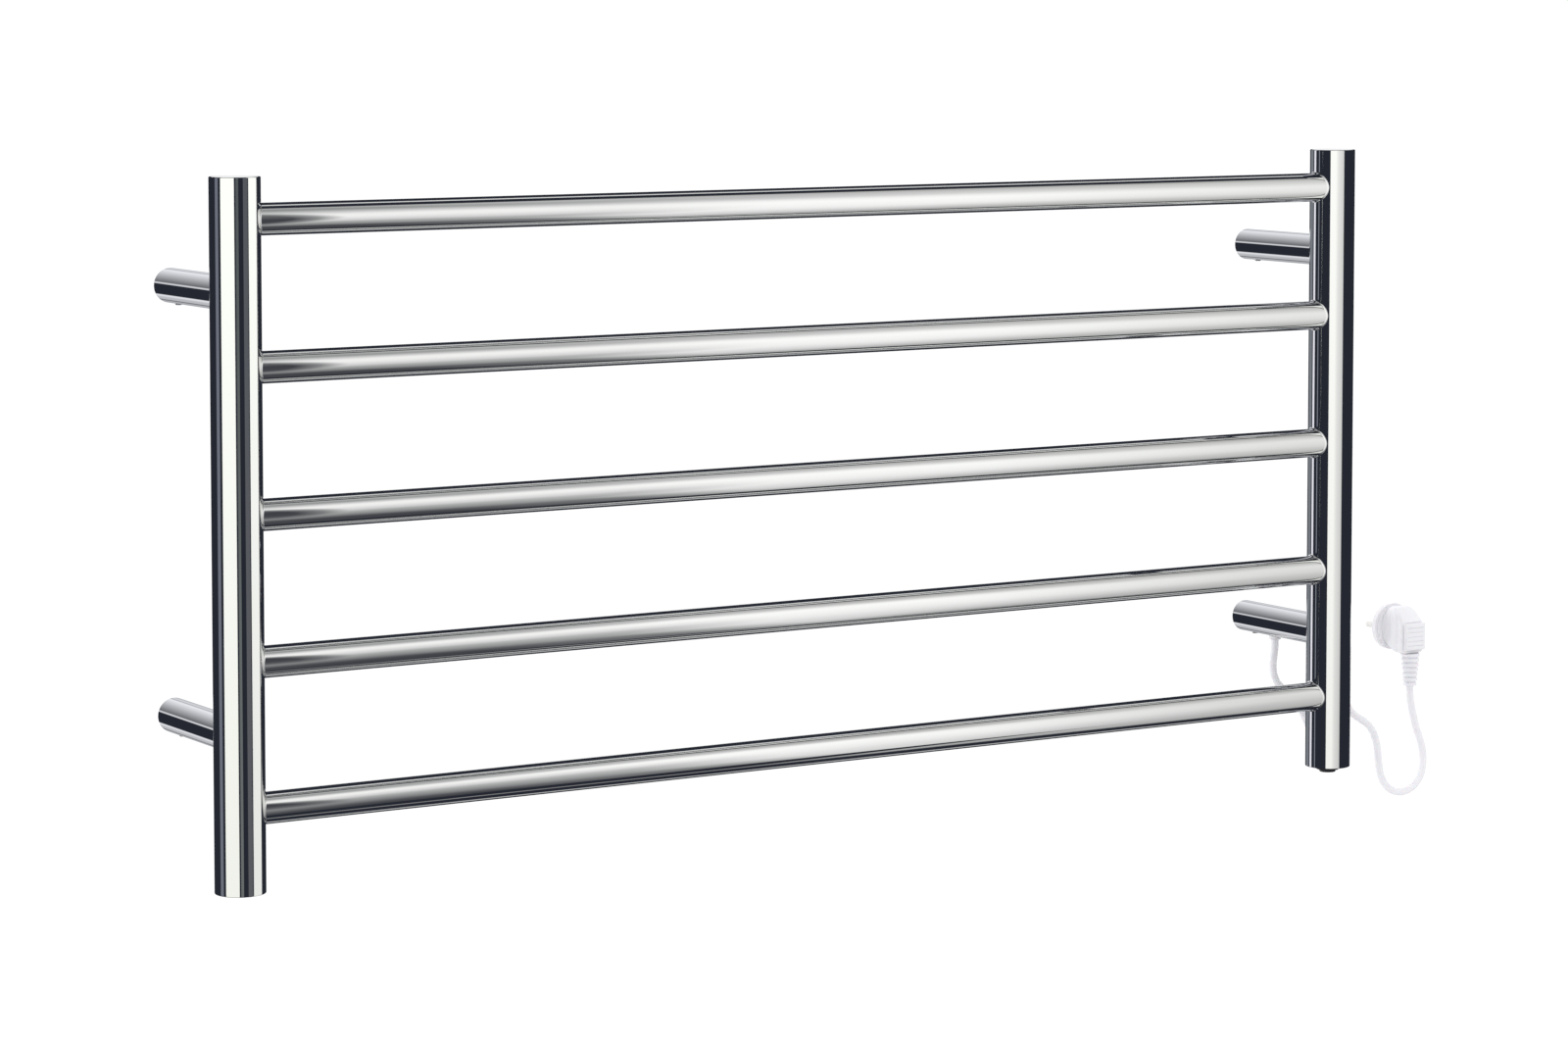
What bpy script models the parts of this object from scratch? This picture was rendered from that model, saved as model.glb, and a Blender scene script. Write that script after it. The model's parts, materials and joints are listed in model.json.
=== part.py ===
"""Wall-hung electric towel warmer: two posts, five bars, four standoffs, heating cable, switch, lead, plug.

+X runs along the bars to the right, +Y into the wall and +Z up. The origin is on the wall, at the centre
of the four fixings, level with the middle bar. All lengths are in metres.
"""
import math

import bmesh
import bpy
import numpy as np
from mathutils import Matrix, Vector

MM = 0.001
GAP = 0.3 * MM

# Driving dimensions
BAR_COUNT = 5
BAR_PITCH = 103 * MM
BAR_RADIUS = 11.5 * MM
BAR_WALL = 1.2 * MM
POST_X = 482 * MM
POST_RADIUS = 18 * MM
POST_WALL = 1.5 * MM
POST_TOP = (BAR_COUNT - 1) / 2 * BAR_PITCH + 30 * MM
POST_LENGTH = 500 * MM
POST_BOTTOM = POST_TOP - POST_LENGTH
POST_Y = -112 * MM
STANDOFF_RADIUS = 12.5 * MM
STANDOFF_WALL = 1.5 * MM
STANDOFF_Z = 1.5 * BAR_PITCH
SEAL_DISC = 2 * MM
EDGE = 0.4 * MM

# Wall fixings
ANCHOR_LENGTH = 30 * MM
ANCHOR_SCREW_HOLE = 2.75 * MM
ANCHOR_HEAD_ROOM = 5.2 * MM
ANCHOR_SEAT = 20 * MM
ANCHOR_CHAMFER = 0.8 * MM
ANCHOR_GROOVE = 1.5 * MM
SLEEVE_FROM_WALL = 0.5 * MM
GRUB_RADIUS = 2.5 * MM
GRUB_LENGTH = 3.8 * MM
GRUB_PROUD = 0.8 * MM
GRUB_SOCKET = 1.45 * MM
GRUB_SOCKET_DEPTH = 2 * MM
GRUB_FROM_WALL = 15.5 * MM

# Lead
CORD_RADIUS = 3 * MM
GLAND_FROM_WALL = 42 * MM
GLAND_DROP = 2.6 * MM
GLAND_NECK = 4 * MM
GLAND_FLANGE = 4.9 * MM
BUSH_FROM_WALL = 65 * MM
BUSH_LENGTH = 10 * MM
LEAD_OUT = Vector((POST_X, -GLAND_FROM_WALL, -STANDOFF_Z - STANDOFF_RADIUS - GLAND_DROP))

# Heating cable
HEAT_RADIUS = 2.25 * MM
HEAT_BEND = 14 * MM
HEAT_DROP = 6.8 * MM
HEAT_X = POST_X - 4 * MM
SEAL_RADIUS = 3 * MM
SEAL_LENGTH = 22 * MM
BAR_PASSAGE = 9.8 * MM
LEAD_PASSAGE = 7.5 * MM
BLOCK_LOW = -184 * MM
BLOCK_HIGH = -172 * MM
FUSE_RADIUS = 2.6 * MM
EARTH_Z = -140 * MM
EARTH_STUD = 2 * MM
EARTH_STUD_LENGTH = 7 * MM
EARTH_HOLE = 2.3 * MM
EARTH_TAG = 4.2 * MM
EARTH_TONGUE = 10 * MM
EARTH_WIRE = 0.9 * MM
SWITCH_WIRE = 1 * MM

# Push button switch, measured upwards from the lower end of the right post
BUTTON_TRAVEL = 1.5 * MM
SWITCH_NECK = 7.9 * MM
SWITCH_CAVITY = 6.9 * MM
SWITCH_RIM = 9.1 * MM
SWITCH_RIM_LOW = -2.9 * MM
SWITCH_TOP = 26 * MM
SWITCH_FLOOR_LOW = 10 * MM
SWITCH_FLOOR_HIGH = 12 * MM
SWITCH_WELL = 6.6 * MM
HOLDER_RADIUS = 16.2 * MM
HOLDER_HEIGHT = 10 * MM
BUTTON_RADIUS = 6.6 * MM
BUTTON_STEM = 2.5 * MM
BUTTON_FACE = -4.8 * MM
BRIDGE_LOW = 12.3 * MM
BRIDGE_HIGH = 13.3 * MM
SPRING_COIL = 4.7 * MM
SPRING_WIRE = 0.4 * MM
SPRING_LOW = 4.2 * MM
SPRING_HIGH = 9.3 * MM
CONTACT_TOP = 31 * MM
CONTACT_THICKNESS = 0.8 * MM
TERMINAL_Y = 4.6 * MM

# Plug, whose face is turned to the wall
PLUG_X = 621 * MM
PLUG_Z = -171.5 * MM
PLUG_FACE_Y = -20 * MM
PLUG_RADIUS = 19.5 * MM
PLUG_BASE = 6 * MM
PIN_SPACING = 19 * MM
PIN_LENGTH = 18.7 * MM
PIN_RADIUS = 2.4 * MM
EARTH_NOTCH = 8 * MM
CLIP_WIDTH = 6 * MM
CLIP_THICKNESS = 0.8 * MM
CLIP_FROM_CENTRE = 17 * MM
GRIP_BEHIND_FACE = 32.9 * MM
GRIP_BELOW_CENTRE = 5.5 * MM
GRIP_THICKNESS = 3.2 * MM
BOOT_BEHIND_FACE = 27.4 * MM
BOOT_TOP = -20.3 * MM
BOOT_BOTTOM = -47.2 * MM
BOOT_WIDE = 7.8 * MM
BOOT_NARROW = 5.7 * MM
BOOT_RIBS = 6

# Hank of spare lead, hung behind the right post
HANK_CENTRE = Vector((522.1 * MM, -62 * MM, -222 * MM))
HANK_TURN = math.radians(51.3)
HANK_HALF_WIDTH = 22.1 * MM
HANK_WAIST = 8.1 * MM
HANK_HALF_STRAIGHT = 31 * MM
HANK_HALF_THICKNESS = 15.8 * MM
TIE_HALF_HEIGHT = 4.5 * MM
TIE_THICKNESS = 0.8 * MM

# Free stretches of the lead, from gland to hank and from hank to plug
UPPER_ROUTE = (
    (482.0, -42.0, -169.9), (482.0, -42.0, -174.0), (481.0, -42.4, -181.0), (479.4, -43.1, -188.5),
    (479.3, -43.5, -196.0), (482.3, -43.3, -203.6), (488.1, -42.7, -209.8), (495.8, -41.8, -215.0),
    (503.6, -40.9, -221.2), (510.2, -40.4, -229.0), (515.0, -40.4, -238.0),
)
LOWER_ROUTE = (
    (551.6, -55.0, -233.5), (558.5, -54.6, -239.0), (566.5, -54.2, -243.5), (573.8, -53.9, -249.6),
    (579.0, -53.4, -258.0), (582.3, -52.8, -269.0), (584.3, -52.2, -281.5), (588.4, -51.6, -294.5),
    (597.6, -51.0, -304.0), (610.6, -50.6, -307.6), (623.0, -50.2, -304.0), (631.4, -49.9, -294.6),
    (634.2, -49.6, -282.0), (632.4, -49.2, -269.5), (628.0, -48.6, -257.0), (624.2, -48.0, -243.5),
    (621.6, -47.5, -230.5), (621.0, -47.4, -224.5), (621.0, -47.4, -219.0),
)

STAINLESS = ("stainless", (0.80, 0.80, 0.78), 0.06, 1.0)
STEEL = ("zinc steel", (0.62, 0.63, 0.64), 0.3, 1.0)
BRASS = ("brass", (0.78, 0.60, 0.28), 0.3, 1.0)
BLACK = ("black plastic", (0.02, 0.02, 0.025), 0.35, 0.0)
WHITE = ("white plastic", (0.86, 0.85, 0.88), 0.4, 0.0)
SILICONE = ("red silicone", (0.45, 0.08, 0.05), 0.55, 0.0)
CERAMIC = ("pale ceramic", (0.80, 0.77, 0.68), 0.6, 0.0)
BROWN = ("brown insulation", (0.22, 0.10, 0.05), 0.5, 0.0)
GREEN = ("green insulation", (0.10, 0.36, 0.10), 0.5, 0.0)


def start_scene():
    """Empties the scene and makes the collections for the object and for its cutters."""
    for old in list(bpy.data.objects):
        bpy.data.objects.remove(old)
    made = []
    for name in ("towel_warmer_rack", "cutters"):
        collection = bpy.data.collections.new(name)
        bpy.context.scene.collection.children.link(collection)
        made.append(collection)
    return made


PARTS, CUTTERS = start_scene()


def material(finish):
    name, colour, roughness, metallic = finish
    found = bpy.data.materials.get(name)
    if found:
        return found
    new = bpy.data.materials.new(name)
    new.use_nodes = True
    shader = new.node_tree.nodes["Principled BSDF"]
    shader.inputs["Base Color"].default_value = (*colour, 1)
    shader.inputs["Roughness"].default_value = roughness
    shader.inputs["Metallic"].default_value = metallic
    return new


def add(name, data, finish=None, location=(0, 0, 0), rotation=(0, 0, 0)):
    """Places an object: a part if it has a finish, and otherwise a cutter."""
    placed = bpy.data.objects.new(name, data)
    placed.location = location
    placed.rotation_euler = rotation
    if finish:
        PARTS.objects.link(placed)
        data.materials.append(material(finish))
    else:
        CUTTERS.objects.link(placed)
        placed.hide_render = True
        placed.display_type = "WIRE"
    return placed


def mesh_from(name, build):
    """A mesh filled by a function that is given an empty bmesh."""
    shape = bmesh.new()
    build(shape)
    data = bpy.data.meshes.new(name)
    shape.to_mesh(data)
    shape.free()
    return data


ALONG_X = (0, math.pi / 2, 0)
OUT_FROM_WALL = (math.pi / 2, 0, 0)


def turned(name, profile, finish=None, steps=32, location=(0, 0, 0), rotation=(0, 0, 0)):
    """Turns (radius, height) points about Z. They run down the outer side, and off the axis close a ring."""
    data = bpy.data.meshes.new(name)
    edges = [(i, i + 1) for i in range(len(profile) - 1)]
    if min(radius for radius, _ in profile) > 0:
        edges.append((len(profile) - 1, 0))
    data.from_pydata([(radius, 0, height) for radius, height in profile], edges, [])
    placed = add(name, data, finish, location, rotation)
    screw = placed.modifiers.new("turn", "SCREW")
    screw.steps = screw.render_steps = steps
    screw.use_merge_vertices = True
    screw.merge_threshold = 0.00001
    screw.use_smooth_shade = True
    return placed


def rod(radius, low, high, edge=0.0):
    """Profile of a solid round rod with its edges broken by edge."""
    if not edge:
        return [(0, high), (radius, high), (radius, low), (0, low)]
    return [(0, high), (radius - edge, high), (radius, high - edge),
            (radius, low + edge), (radius - edge, low), (0, low)]


def ring(outer, inner, low, high, edge=0.0):
    """Profile of a tube with its outer edges broken by edge."""
    if not edge:
        return [(outer, high), (outer, low), (inner, low), (inner, high)]
    return [(outer - edge, high), (outer, high - edge), (outer, low + edge),
            (outer - edge, low), (inner, low), (inner, high)]


def box(name, low, high, finish=None, edge=0.0):
    """A box between two corners, with its edges broken by a bevel."""
    low, high = Vector(low), Vector(high)
    size = high - low
    data = mesh_from(name, lambda shape: bmesh.ops.create_cube(
        shape, size=1, matrix=Matrix.Diagonal((*size, 1))))
    placed = add(name, data, finish, (low + high) / 2)
    if edge:
        bevel = placed.modifiers.new("edge", "BEVEL")
        bevel.width = edge
        bevel.segments = 2
    return placed


def prism(name, radius, length, sides, finish=None, location=(0, 0, 0), rotation=(0, 0, 0)):
    """A regular prism about Z, such as a round cutter or a hexagon."""
    data = mesh_from(name, lambda shape: bmesh.ops.create_cone(
        shape, cap_ends=True, segments=sides, radius1=radius, radius2=radius, depth=length))
    return add(name, data, finish, location, rotation)


def cut(part, *cutters):
    for cutter in cutters:
        difference = part.modifiers.new(cutter.name, "BOOLEAN")
        difference.operation = "DIFFERENCE"
        difference.solver = "EXACT"
        difference.object = cutter


def flat(name, outlines, thickness, finish, location, rotation=(0, 0, 0)):
    """A flat piece: closed outlines in its local XY plane, the later ones being holes, extruded both ways."""
    curve = bpy.data.curves.new(name, "CURVE")
    curve.dimensions = "2D"
    curve.fill_mode = "BOTH"
    curve.extrude = thickness / 2
    for outline in outlines:
        spline = curve.splines.new("POLY")
        spline.points.add(len(outline) - 1)
        for point, (x, y) in zip(spline.points, outline):
            point.co = (x, y, 0, 1)
        spline.use_cyclic_u = True
    return add(name, curve, finish, location, rotation)


def wire(name, points, radius, finish, resolution=2):
    """A round wire with closed ends along a list of points."""
    curve = bpy.data.curves.new(name, "CURVE")
    curve.dimensions = "3D"
    curve.bevel_depth = radius
    curve.bevel_resolution = resolution
    curve.use_fill_caps = True
    spline = curve.splines.new("POLY")
    spline.points.add(len(points) - 1)
    for point, place in zip(spline.points, points):
        point.co = (*place, 1)
    return add(name, curve, finish)


def smooth_route(route, spacing):
    """Evenly spaced points on the natural cubic spline through a route."""
    knots = np.array(route, float)
    chord = np.linalg.norm(np.diff(knots, axis=0), axis=1)
    at = np.concatenate([[0], np.cumsum(chord)])
    count = len(knots)
    system = np.zeros((count, count))
    right = np.zeros((count, 3))
    system[0, 0] = system[-1, -1] = 1
    for i in range(1, count - 1):
        before, after = chord[i - 1], chord[i]
        system[i, i - 1:i + 2] = before, 2 * (before + after), after
        right[i] = 6 * ((knots[i + 1] - knots[i]) / after - (knots[i] - knots[i - 1]) / before)
    bend = np.linalg.solve(system, right)

    def place(where):
        i = min(int(np.searchsorted(at, where, side="right")) - 1, count - 2)
        span = chord[i]
        far, near = (where - at[i]) / span, (at[i + 1] - where) / span
        return (near * knots[i] + far * knots[i + 1]
                + ((near ** 3 - near) * bend[i] + (far ** 3 - far) * bend[i + 1]) * span ** 2 / 6)

    steps = max(2, round(at[-1] / spacing))
    return [tuple(place(at[-1] * k / steps)) for k in range(steps + 1)]


def arc(centre, start, end, pieces=5):
    """Points of a quarter circle about centre from start to end, both ends included."""
    centre, start, end = Vector(centre), Vector(start), Vector(end)
    return [tuple(centre + (start - centre) * math.cos(turn) + (end - centre) * math.sin(turn))
            for turn in (math.pi / 2 * k / pieces for k in range(pieces + 1))]


def rounded(half_width, half_height, radius, pieces=5):
    """Outline of a rectangle with round corners about the origin."""
    points = []
    for quarter in range(4):
        across = 1 if quarter in (0, 3) else -1
        up = 1 if quarter < 2 else -1
        for k in range(pieces + 1):
            turn = math.pi / 2 * (quarter + k / pieces)
            points.append((across * (half_width - radius) + radius * math.cos(turn),
                           up * (half_height - radius) + radius * math.sin(turn)))
    return points


def bar_heights():
    """Heights of the bars' axes, top bar first."""
    middle = (BAR_COUNT - 1) / 2
    return [(middle - i) * BAR_PITCH for i in range(BAR_COUNT)]


# ---------------------------------------------------------------- tubes

def post_clearances():
    """Solid cylinders a gap larger than the posts, which cope whatever butts against them."""
    return {side: prism(f"{side}_post_clearance", POST_RADIUS + GAP, POST_LENGTH + 0.1, 48,
                        location=(x, POST_Y, (POST_TOP + POST_BOTTOM) / 2))
            for side, x in (("left", -POST_X), ("right", POST_X))}


def make_posts():
    bores = [prism(f"bar_{i + 1}_passage", BAR_PASSAGE, 2 * POST_X, 16,
                   location=(0, POST_Y, z), rotation=ALONG_X)
             for i, z in enumerate(bar_heights())]
    lead_hole = prism("lead_passage", LEAD_PASSAGE, 26 * MM, 16,
                      location=(POST_X, POST_Y + 13 * MM, -STANDOFF_Z), rotation=OUT_FROM_WALL)
    inner = POST_RADIUS - POST_WALL
    for side, x in (("left", -POST_X), ("right", POST_X)):
        post = turned(f"{side}_post", ring(POST_RADIUS, inner, POST_BOTTOM, POST_TOP, EDGE),
                      STAINLESS, 40, (x, POST_Y, 0))
        cut(post, *bores)
        if side == "right":
            cut(post, lead_hole)
        turned(f"{side}_post_top_cap", rod(inner - GAP, POST_TOP - SEAL_DISC, POST_TOP),
               STAINLESS, 24, (x, POST_Y, 0))
    turned("left_post_bottom_cap", rod(inner - GAP, POST_BOTTOM, POST_BOTTOM + SEAL_DISC),
           STAINLESS, 24, (-POST_X, POST_Y, 0))


def make_bars(clearances):
    for i, z in enumerate(bar_heights()):
        bar = turned(f"bar_{i + 1}", ring(BAR_RADIUS, BAR_RADIUS - BAR_WALL, -POST_X, POST_X),
                     STAINLESS, 24, (0, POST_Y, z), ALONG_X)
        cut(bar, clearances["left"], clearances["right"])


# ---------------------------------------------------------------- wall fixings

def make_standoffs(clearances):
    """Sleeves from posts to wall, each over a spigot on the wall and held by a grub screw from below."""
    inner = STANDOFF_RADIUS - STANDOFF_WALL
    spigot = inner - GAP
    groove = GRUB_RADIUS + 0.4 * MM
    anchor_profile = [
        (spigot - ANCHOR_CHAMFER, ANCHOR_LENGTH), (spigot, ANCHOR_LENGTH - ANCHOR_CHAMFER),
        (spigot, GRUB_FROM_WALL + groove), (spigot - ANCHOR_GROOVE, GRUB_FROM_WALL + groove),
        (spigot - ANCHOR_GROOVE, GRUB_FROM_WALL - groove), (spigot, GRUB_FROM_WALL - groove),
        (spigot, 0), (ANCHOR_SCREW_HOLE, 0), (ANCHOR_SCREW_HOLE, ANCHOR_SEAT),
        (ANCHOR_HEAD_ROOM, ANCHOR_SEAT), (ANCHOR_HEAD_ROOM, ANCHOR_LENGTH)]
    for side, x in (("left", -POST_X), ("right", POST_X)):
        for level, z in (("upper", STANDOFF_Z), ("lower", -STANDOFF_Z)):
            name = f"{level}_{side}"
            sleeve = turned(f"{name}_standoff", ring(STANDOFF_RADIUS, inner, SLEEVE_FROM_WALL, -POST_Y, EDGE),
                            STAINLESS, 24, (x, 0, z), OUT_FROM_WALL)
            screw_at = (x, -GRUB_FROM_WALL, z - STANDOFF_RADIUS)
            cut(sleeve, clearances[side],
                prism(f"{name}_grub_hole", GRUB_RADIUS + GAP, 8 * MM, 12, location=screw_at))
            if name == "lower_right":
                cut(sleeve, prism("gland_hole", 4.3 * MM, 8 * MM, 16,
                                  location=(x, -GLAND_FROM_WALL, z - STANDOFF_RADIUS)))
            turned(f"{name}_anchor", anchor_profile, STEEL, 16, (x, 0, z), OUT_FROM_WALL)
            make_grub_screw(f"{name}_grub_screw", screw_at)


def make_grub_screw(name, at):
    """A set screw that points up, with its hexagon socket facing down and just proud of the sleeve."""
    low = -GRUB_PROUD
    screw = turned(name, rod(GRUB_RADIUS, low, low + GRUB_LENGTH, GAP), STEEL, 10, at)
    socket = prism(f"{name}_socket", GRUB_SOCKET, 2 * GRUB_SOCKET_DEPTH, 6,
                   location=Vector(at) + Vector((0, 0, low)))
    cut(screw, socket)


# ---------------------------------------------------------------- heating circuit

def make_heating_cable():
    """One cable from the fuse in the right post, through the bars from the lowest up, to a seal in bar 1."""
    x_bend = HEAT_X - HEAT_BEND
    heights = [z - HEAT_DROP for z in reversed(bar_heights())]
    points = []
    side = 1
    for i, z in enumerate(heights):
        centre = (side * x_bend, POST_Y, z + HEAT_BEND)
        if i == 0:
            points += arc(centre, (HEAT_X, POST_Y, z + HEAT_BEND), (x_bend, POST_Y, z))
        side = -side
        if i == len(heights) - 1:
            points.append((side * (POST_X - 42 * MM), POST_Y, z))
            break
        outer = side * HEAT_X
        centre = (side * x_bend, POST_Y, z + HEAT_BEND)
        points += arc(centre, (side * x_bend, POST_Y, z), (outer, POST_Y, z + HEAT_BEND))
        above = heights[i + 1]
        centre = (side * x_bend, POST_Y, above - HEAT_BEND)
        points += arc(centre, (outer, POST_Y, above - HEAT_BEND), (side * x_bend, POST_Y, above))
    wire("heating_cable", points, HEAT_RADIUS, SILICONE)
    seal_x = points[-1][0] - GAP
    turned("heating_cable_seal", rod(SEAL_RADIUS, 0, SEAL_LENGTH, 0.8 * MM), BLACK, 12,
           (seal_x - SEAL_LENGTH, POST_Y, points[-1][2]), ALONG_X)


def make_junction():
    """Terminal block, fuse and earth stud in the right post, above the switch."""
    box("terminal_block", (POST_X - 7 * MM, POST_Y - 6 * MM, BLOCK_LOW),
        (POST_X + 7 * MM, POST_Y + 6 * MM, BLOCK_HIGH), CERAMIC, 0.8 * MM)
    fuse_low = heating_start() + GAP
    turned("thermal_fuse", rod(FUSE_RADIUS, fuse_low, BLOCK_LOW - GAP, 0.5 * MM), STEEL, 12,
           (HEAT_X, POST_Y, 0))
    wall = POST_X + POST_RADIUS - POST_WALL - GAP
    turned("earth_stud", rod(EARTH_STUD, -EARTH_STUD_LENGTH, 0), STEEL, 12, (wall, POST_Y, EARTH_Z), ALONG_X)
    tag_hole = [(EARTH_HOLE * math.cos(t), EARTH_HOLE * math.sin(t)) for t in turns(12)]
    tag = [(EARTH_TAG * math.cos(t), EARTH_TAG * math.sin(t)) for t in turns(16, -60, 240)]
    tag += [(-1.5 * MM, -EARTH_TONGUE), (1.5 * MM, -EARTH_TONGUE)]
    flat("earth_tag", (tag, tag_hole), 0.8 * MM, STEEL,
         (wall - 1.2 * MM, POST_Y, EARTH_Z), (math.pi / 2, 0, math.pi / 2))
    nut_at = (wall - 3.5 * MM, POST_Y, EARTH_Z)
    nut = prism("earth_nut", 4 * MM, 3 * MM, 6, STEEL, nut_at, ALONG_X)
    cut(nut, prism("earth_nut_hole", EARTH_HOLE, 8 * MM, 16, location=nut_at, rotation=ALONG_X))
    earth_route = [(497.0, -112.0, -150.4), (496.0, -112.6, -156.0), (491.8, -114.4, -163.0),
                   (487.6, -115.4, -167.5), (487.0, -115.5, -171.7)]
    wire("earth_wire", [tuple(Vector(p) * MM) for p in smooth_route(earth_route, 2.5)], EARTH_WIRE, GREEN, 1)
    for i, y in enumerate((-1, 1)):
        foot = POST_Y + y * TERMINAL_Y
        route = [(POST_X, foot, -232.6 * MM), (POST_X + 1.2 * MM, foot, -226 * MM),
                 (POST_X + 4 * MM, foot, -210 * MM), (POST_X + 5 * MM, POST_Y + y * 4 * MM, -195 * MM),
                 (POST_X + 5 * MM, POST_Y + y * 3.6 * MM, BLOCK_LOW - GAP)]
        wire(f"switch_wire_{i + 1}", smooth_route(route, 4 * MM), SWITCH_WIRE, BROWN, 1)


def turns(count, start=0, end=360):
    """Angles in radians; a whole circle leaves out its repeated last angle."""
    whole = end - start == 360
    return [math.radians(start + (end - start) * k / (count if whole else count - 1)) for k in range(count)]


def heating_start():
    """Height at which the heating cable leaves the fuse."""
    return bar_heights()[-1] - HEAT_DROP + HEAT_BEND


# ---------------------------------------------------------------- lead entry

def make_lead_entry():
    """Gland under the lower right standoff, clamp bush inside it, and the lead's inner end to the block."""
    x, y, out = LEAD_OUT
    under = -STANDOFF_Z - STANDOFF_RADIUS
    gland = turned("cord_gland", [
        (GLAND_NECK, under + 4 * MM), (GLAND_NECK, under + 0.9 * MM), (GLAND_FLANGE, under + 0.9 * MM),
        (GLAND_FLANGE, out + 0.6 * MM), (GLAND_FLANGE - 0.5 * MM, out), (CORD_RADIUS + GAP, out),
        (CORD_RADIUS + GAP, under + 4 * MM)], WHITE, 20, (x, y, 0))
    sleeve = turned("sleeve_clearance",
                    ring(STANDOFF_RADIUS + GAP, STANDOFF_RADIUS - STANDOFF_WALL - 2 * GAP, -12 * MM, 12 * MM),
                    None, 32, (x, y, -STANDOFF_Z), OUT_FROM_WALL)
    cut(sleeve, prism("gland_neck_room", 4.05 * MM, 12 * MM, 20, location=(x, y, under)))
    cut(gland, sleeve)
    level = -STANDOFF_Z + 2 * MM
    first, second = 11 * MM, 13 * MM
    down_y = POST_Y + 2 * MM
    points = [(x, y, out)]
    points += arc((x, y - first, level - first), (x, y, level - first), (x, y - first, level))
    points += arc((x, down_y + second, level - second), (x, down_y + second, level),
                  (x, down_y, level - second))
    points.append((x, down_y, BLOCK_HIGH + GAP))
    wire("inner_lead", points, CORD_RADIUS, WHITE)
    bush = turned("lead_bush",
                  rod(STANDOFF_RADIUS - STANDOFF_WALL - GAP, BUSH_FROM_WALL, BUSH_FROM_WALL + BUSH_LENGTH),
                  BLACK, 16, (x, 0, -STANDOFF_Z), OUT_FROM_WALL)
    cut(bush, prism("lead_bush_hole", CORD_RADIUS + GAP, 3 * BUSH_LENGTH, 12,
                    location=(x, -BUSH_FROM_WALL - BUSH_LENGTH / 2, level), rotation=OUT_FROM_WALL))


# ---------------------------------------------------------------- switch

def make_switch():
    """Push button that closes the lower end of the right post. Heights are above the post's end."""
    at = (POST_X, POST_Y, POST_BOTTOM)
    turned("switch_holder", ring(HOLDER_RADIUS, SWITCH_NECK + GAP, 0, HOLDER_HEIGHT), STAINLESS, 24, at)
    turned("switch_housing", [
        (SWITCH_NECK, SWITCH_TOP), (SWITCH_NECK, -GAP), (SWITCH_RIM, -GAP),
        (SWITCH_RIM, SWITCH_RIM_LOW + 0.6 * MM), (SWITCH_RIM - 0.6 * MM, SWITCH_RIM_LOW),
        (SWITCH_CAVITY + 0.4 * MM, SWITCH_RIM_LOW), (SWITCH_CAVITY, SWITCH_RIM_LOW + 0.4 * MM),
        (SWITCH_CAVITY, SWITCH_FLOOR_LOW), (BUTTON_STEM + 0.4 * MM, SWITCH_FLOOR_LOW),
        (BUTTON_STEM + 0.4 * MM, SWITCH_FLOOR_HIGH), (SWITCH_WELL, SWITCH_FLOOR_HIGH),
        (SWITCH_WELL, SWITCH_TOP)], BLACK, 24, at)
    nut_at = (POST_X, POST_Y, POST_BOTTOM + HOLDER_HEIGHT + 2 * MM + GAP)
    nut = prism("switch_nut", 12 * MM, 4 * MM, 6, STEEL, nut_at)
    cut(nut, prism("switch_nut_hole", SWITCH_NECK + GAP, 8 * MM, 16, location=nut_at))
    turned("switch_button", [
        (0, 15 * MM), (BUTTON_STEM - GAP, 15 * MM), (BUTTON_STEM, 15 * MM - GAP), (BUTTON_STEM, 3.5 * MM),
        (BUTTON_RADIUS - 0.4 * MM, 3.5 * MM), (BUTTON_RADIUS, 3.1 * MM), (BUTTON_RADIUS, -4.0 * MM),
        (BUTTON_RADIUS - GAP, -4.5 * MM), (BUTTON_RADIUS - 0.8 * MM, BUTTON_FACE), (3.5 * MM, -4.6 * MM),
        (0, -4.5 * MM)], BLACK, 20, at)
    turned("switch_bridge", ring(5.6 * MM, BUTTON_STEM + GAP, BRIDGE_LOW, BRIDGE_HIGH), BRASS, 16, at)
    make_switch_spring()
    make_switch_contacts(at)


def make_switch_spring():
    """Compression spring between the button and the housing's floor."""
    steps_per_coil, steps = 9, 31
    points = []
    for k in range(steps + 1):
        turn = 2 * math.pi * k / steps_per_coil
        height = SPRING_LOW + (SPRING_HIGH - SPRING_LOW) * k / steps
        points.append((POST_X + SPRING_COIL * math.cos(turn), POST_Y + SPRING_COIL * math.sin(turn),
                       POST_BOTTOM + height))
    wire("switch_spring", points, SPRING_WIRE, STEEL, 1)


def make_switch_contacts(at):
    """Two contact blades above the bridge, led up through slots in the housing's cover."""
    cover_low = SWITCH_TOP + GAP
    cover = turned("switch_cover", rod(SWITCH_NECK, cover_low, cover_low + 2 * MM), BLACK, 16, at)
    pad = BRIDGE_HIGH + BUTTON_TRAVEL + GAP
    over = pad + CONTACT_THICKNESS
    tail_in, tail_out = TERMINAL_Y - CONTACT_THICKNESS / 2, TERMINAL_Y + CONTACT_THICKNESS / 2
    pad_in, pad_out = 3.2 * MM, 6.0 * MM
    for i, way in enumerate((-1, 1)):
        slot_low = Vector((-1.9 * MM, way * TERMINAL_Y - CONTACT_THICKNESS, SWITCH_TOP - 1 * MM))
        slot_high = Vector((1.9 * MM, way * TERMINAL_Y + CONTACT_THICKNESS, SWITCH_TOP + 4 * MM))
        cut(cover, box(f"contact_slot_{i + 1}", Vector(at) + slot_low, Vector(at) + slot_high))
        blade = [(pad_in, pad), (pad_out, pad), (pad_out, over), (tail_out, over), (tail_out, CONTACT_TOP),
                 (tail_in, CONTACT_TOP), (tail_in, over), (pad_in, over)]
        flat(f"switch_contact_{i + 1}", ([(way * x, z) for x, z in blade],), 3 * MM, BRASS, at,
             (math.pi / 2, 0, math.pi / 2))


# ---------------------------------------------------------------- power cord

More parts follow.
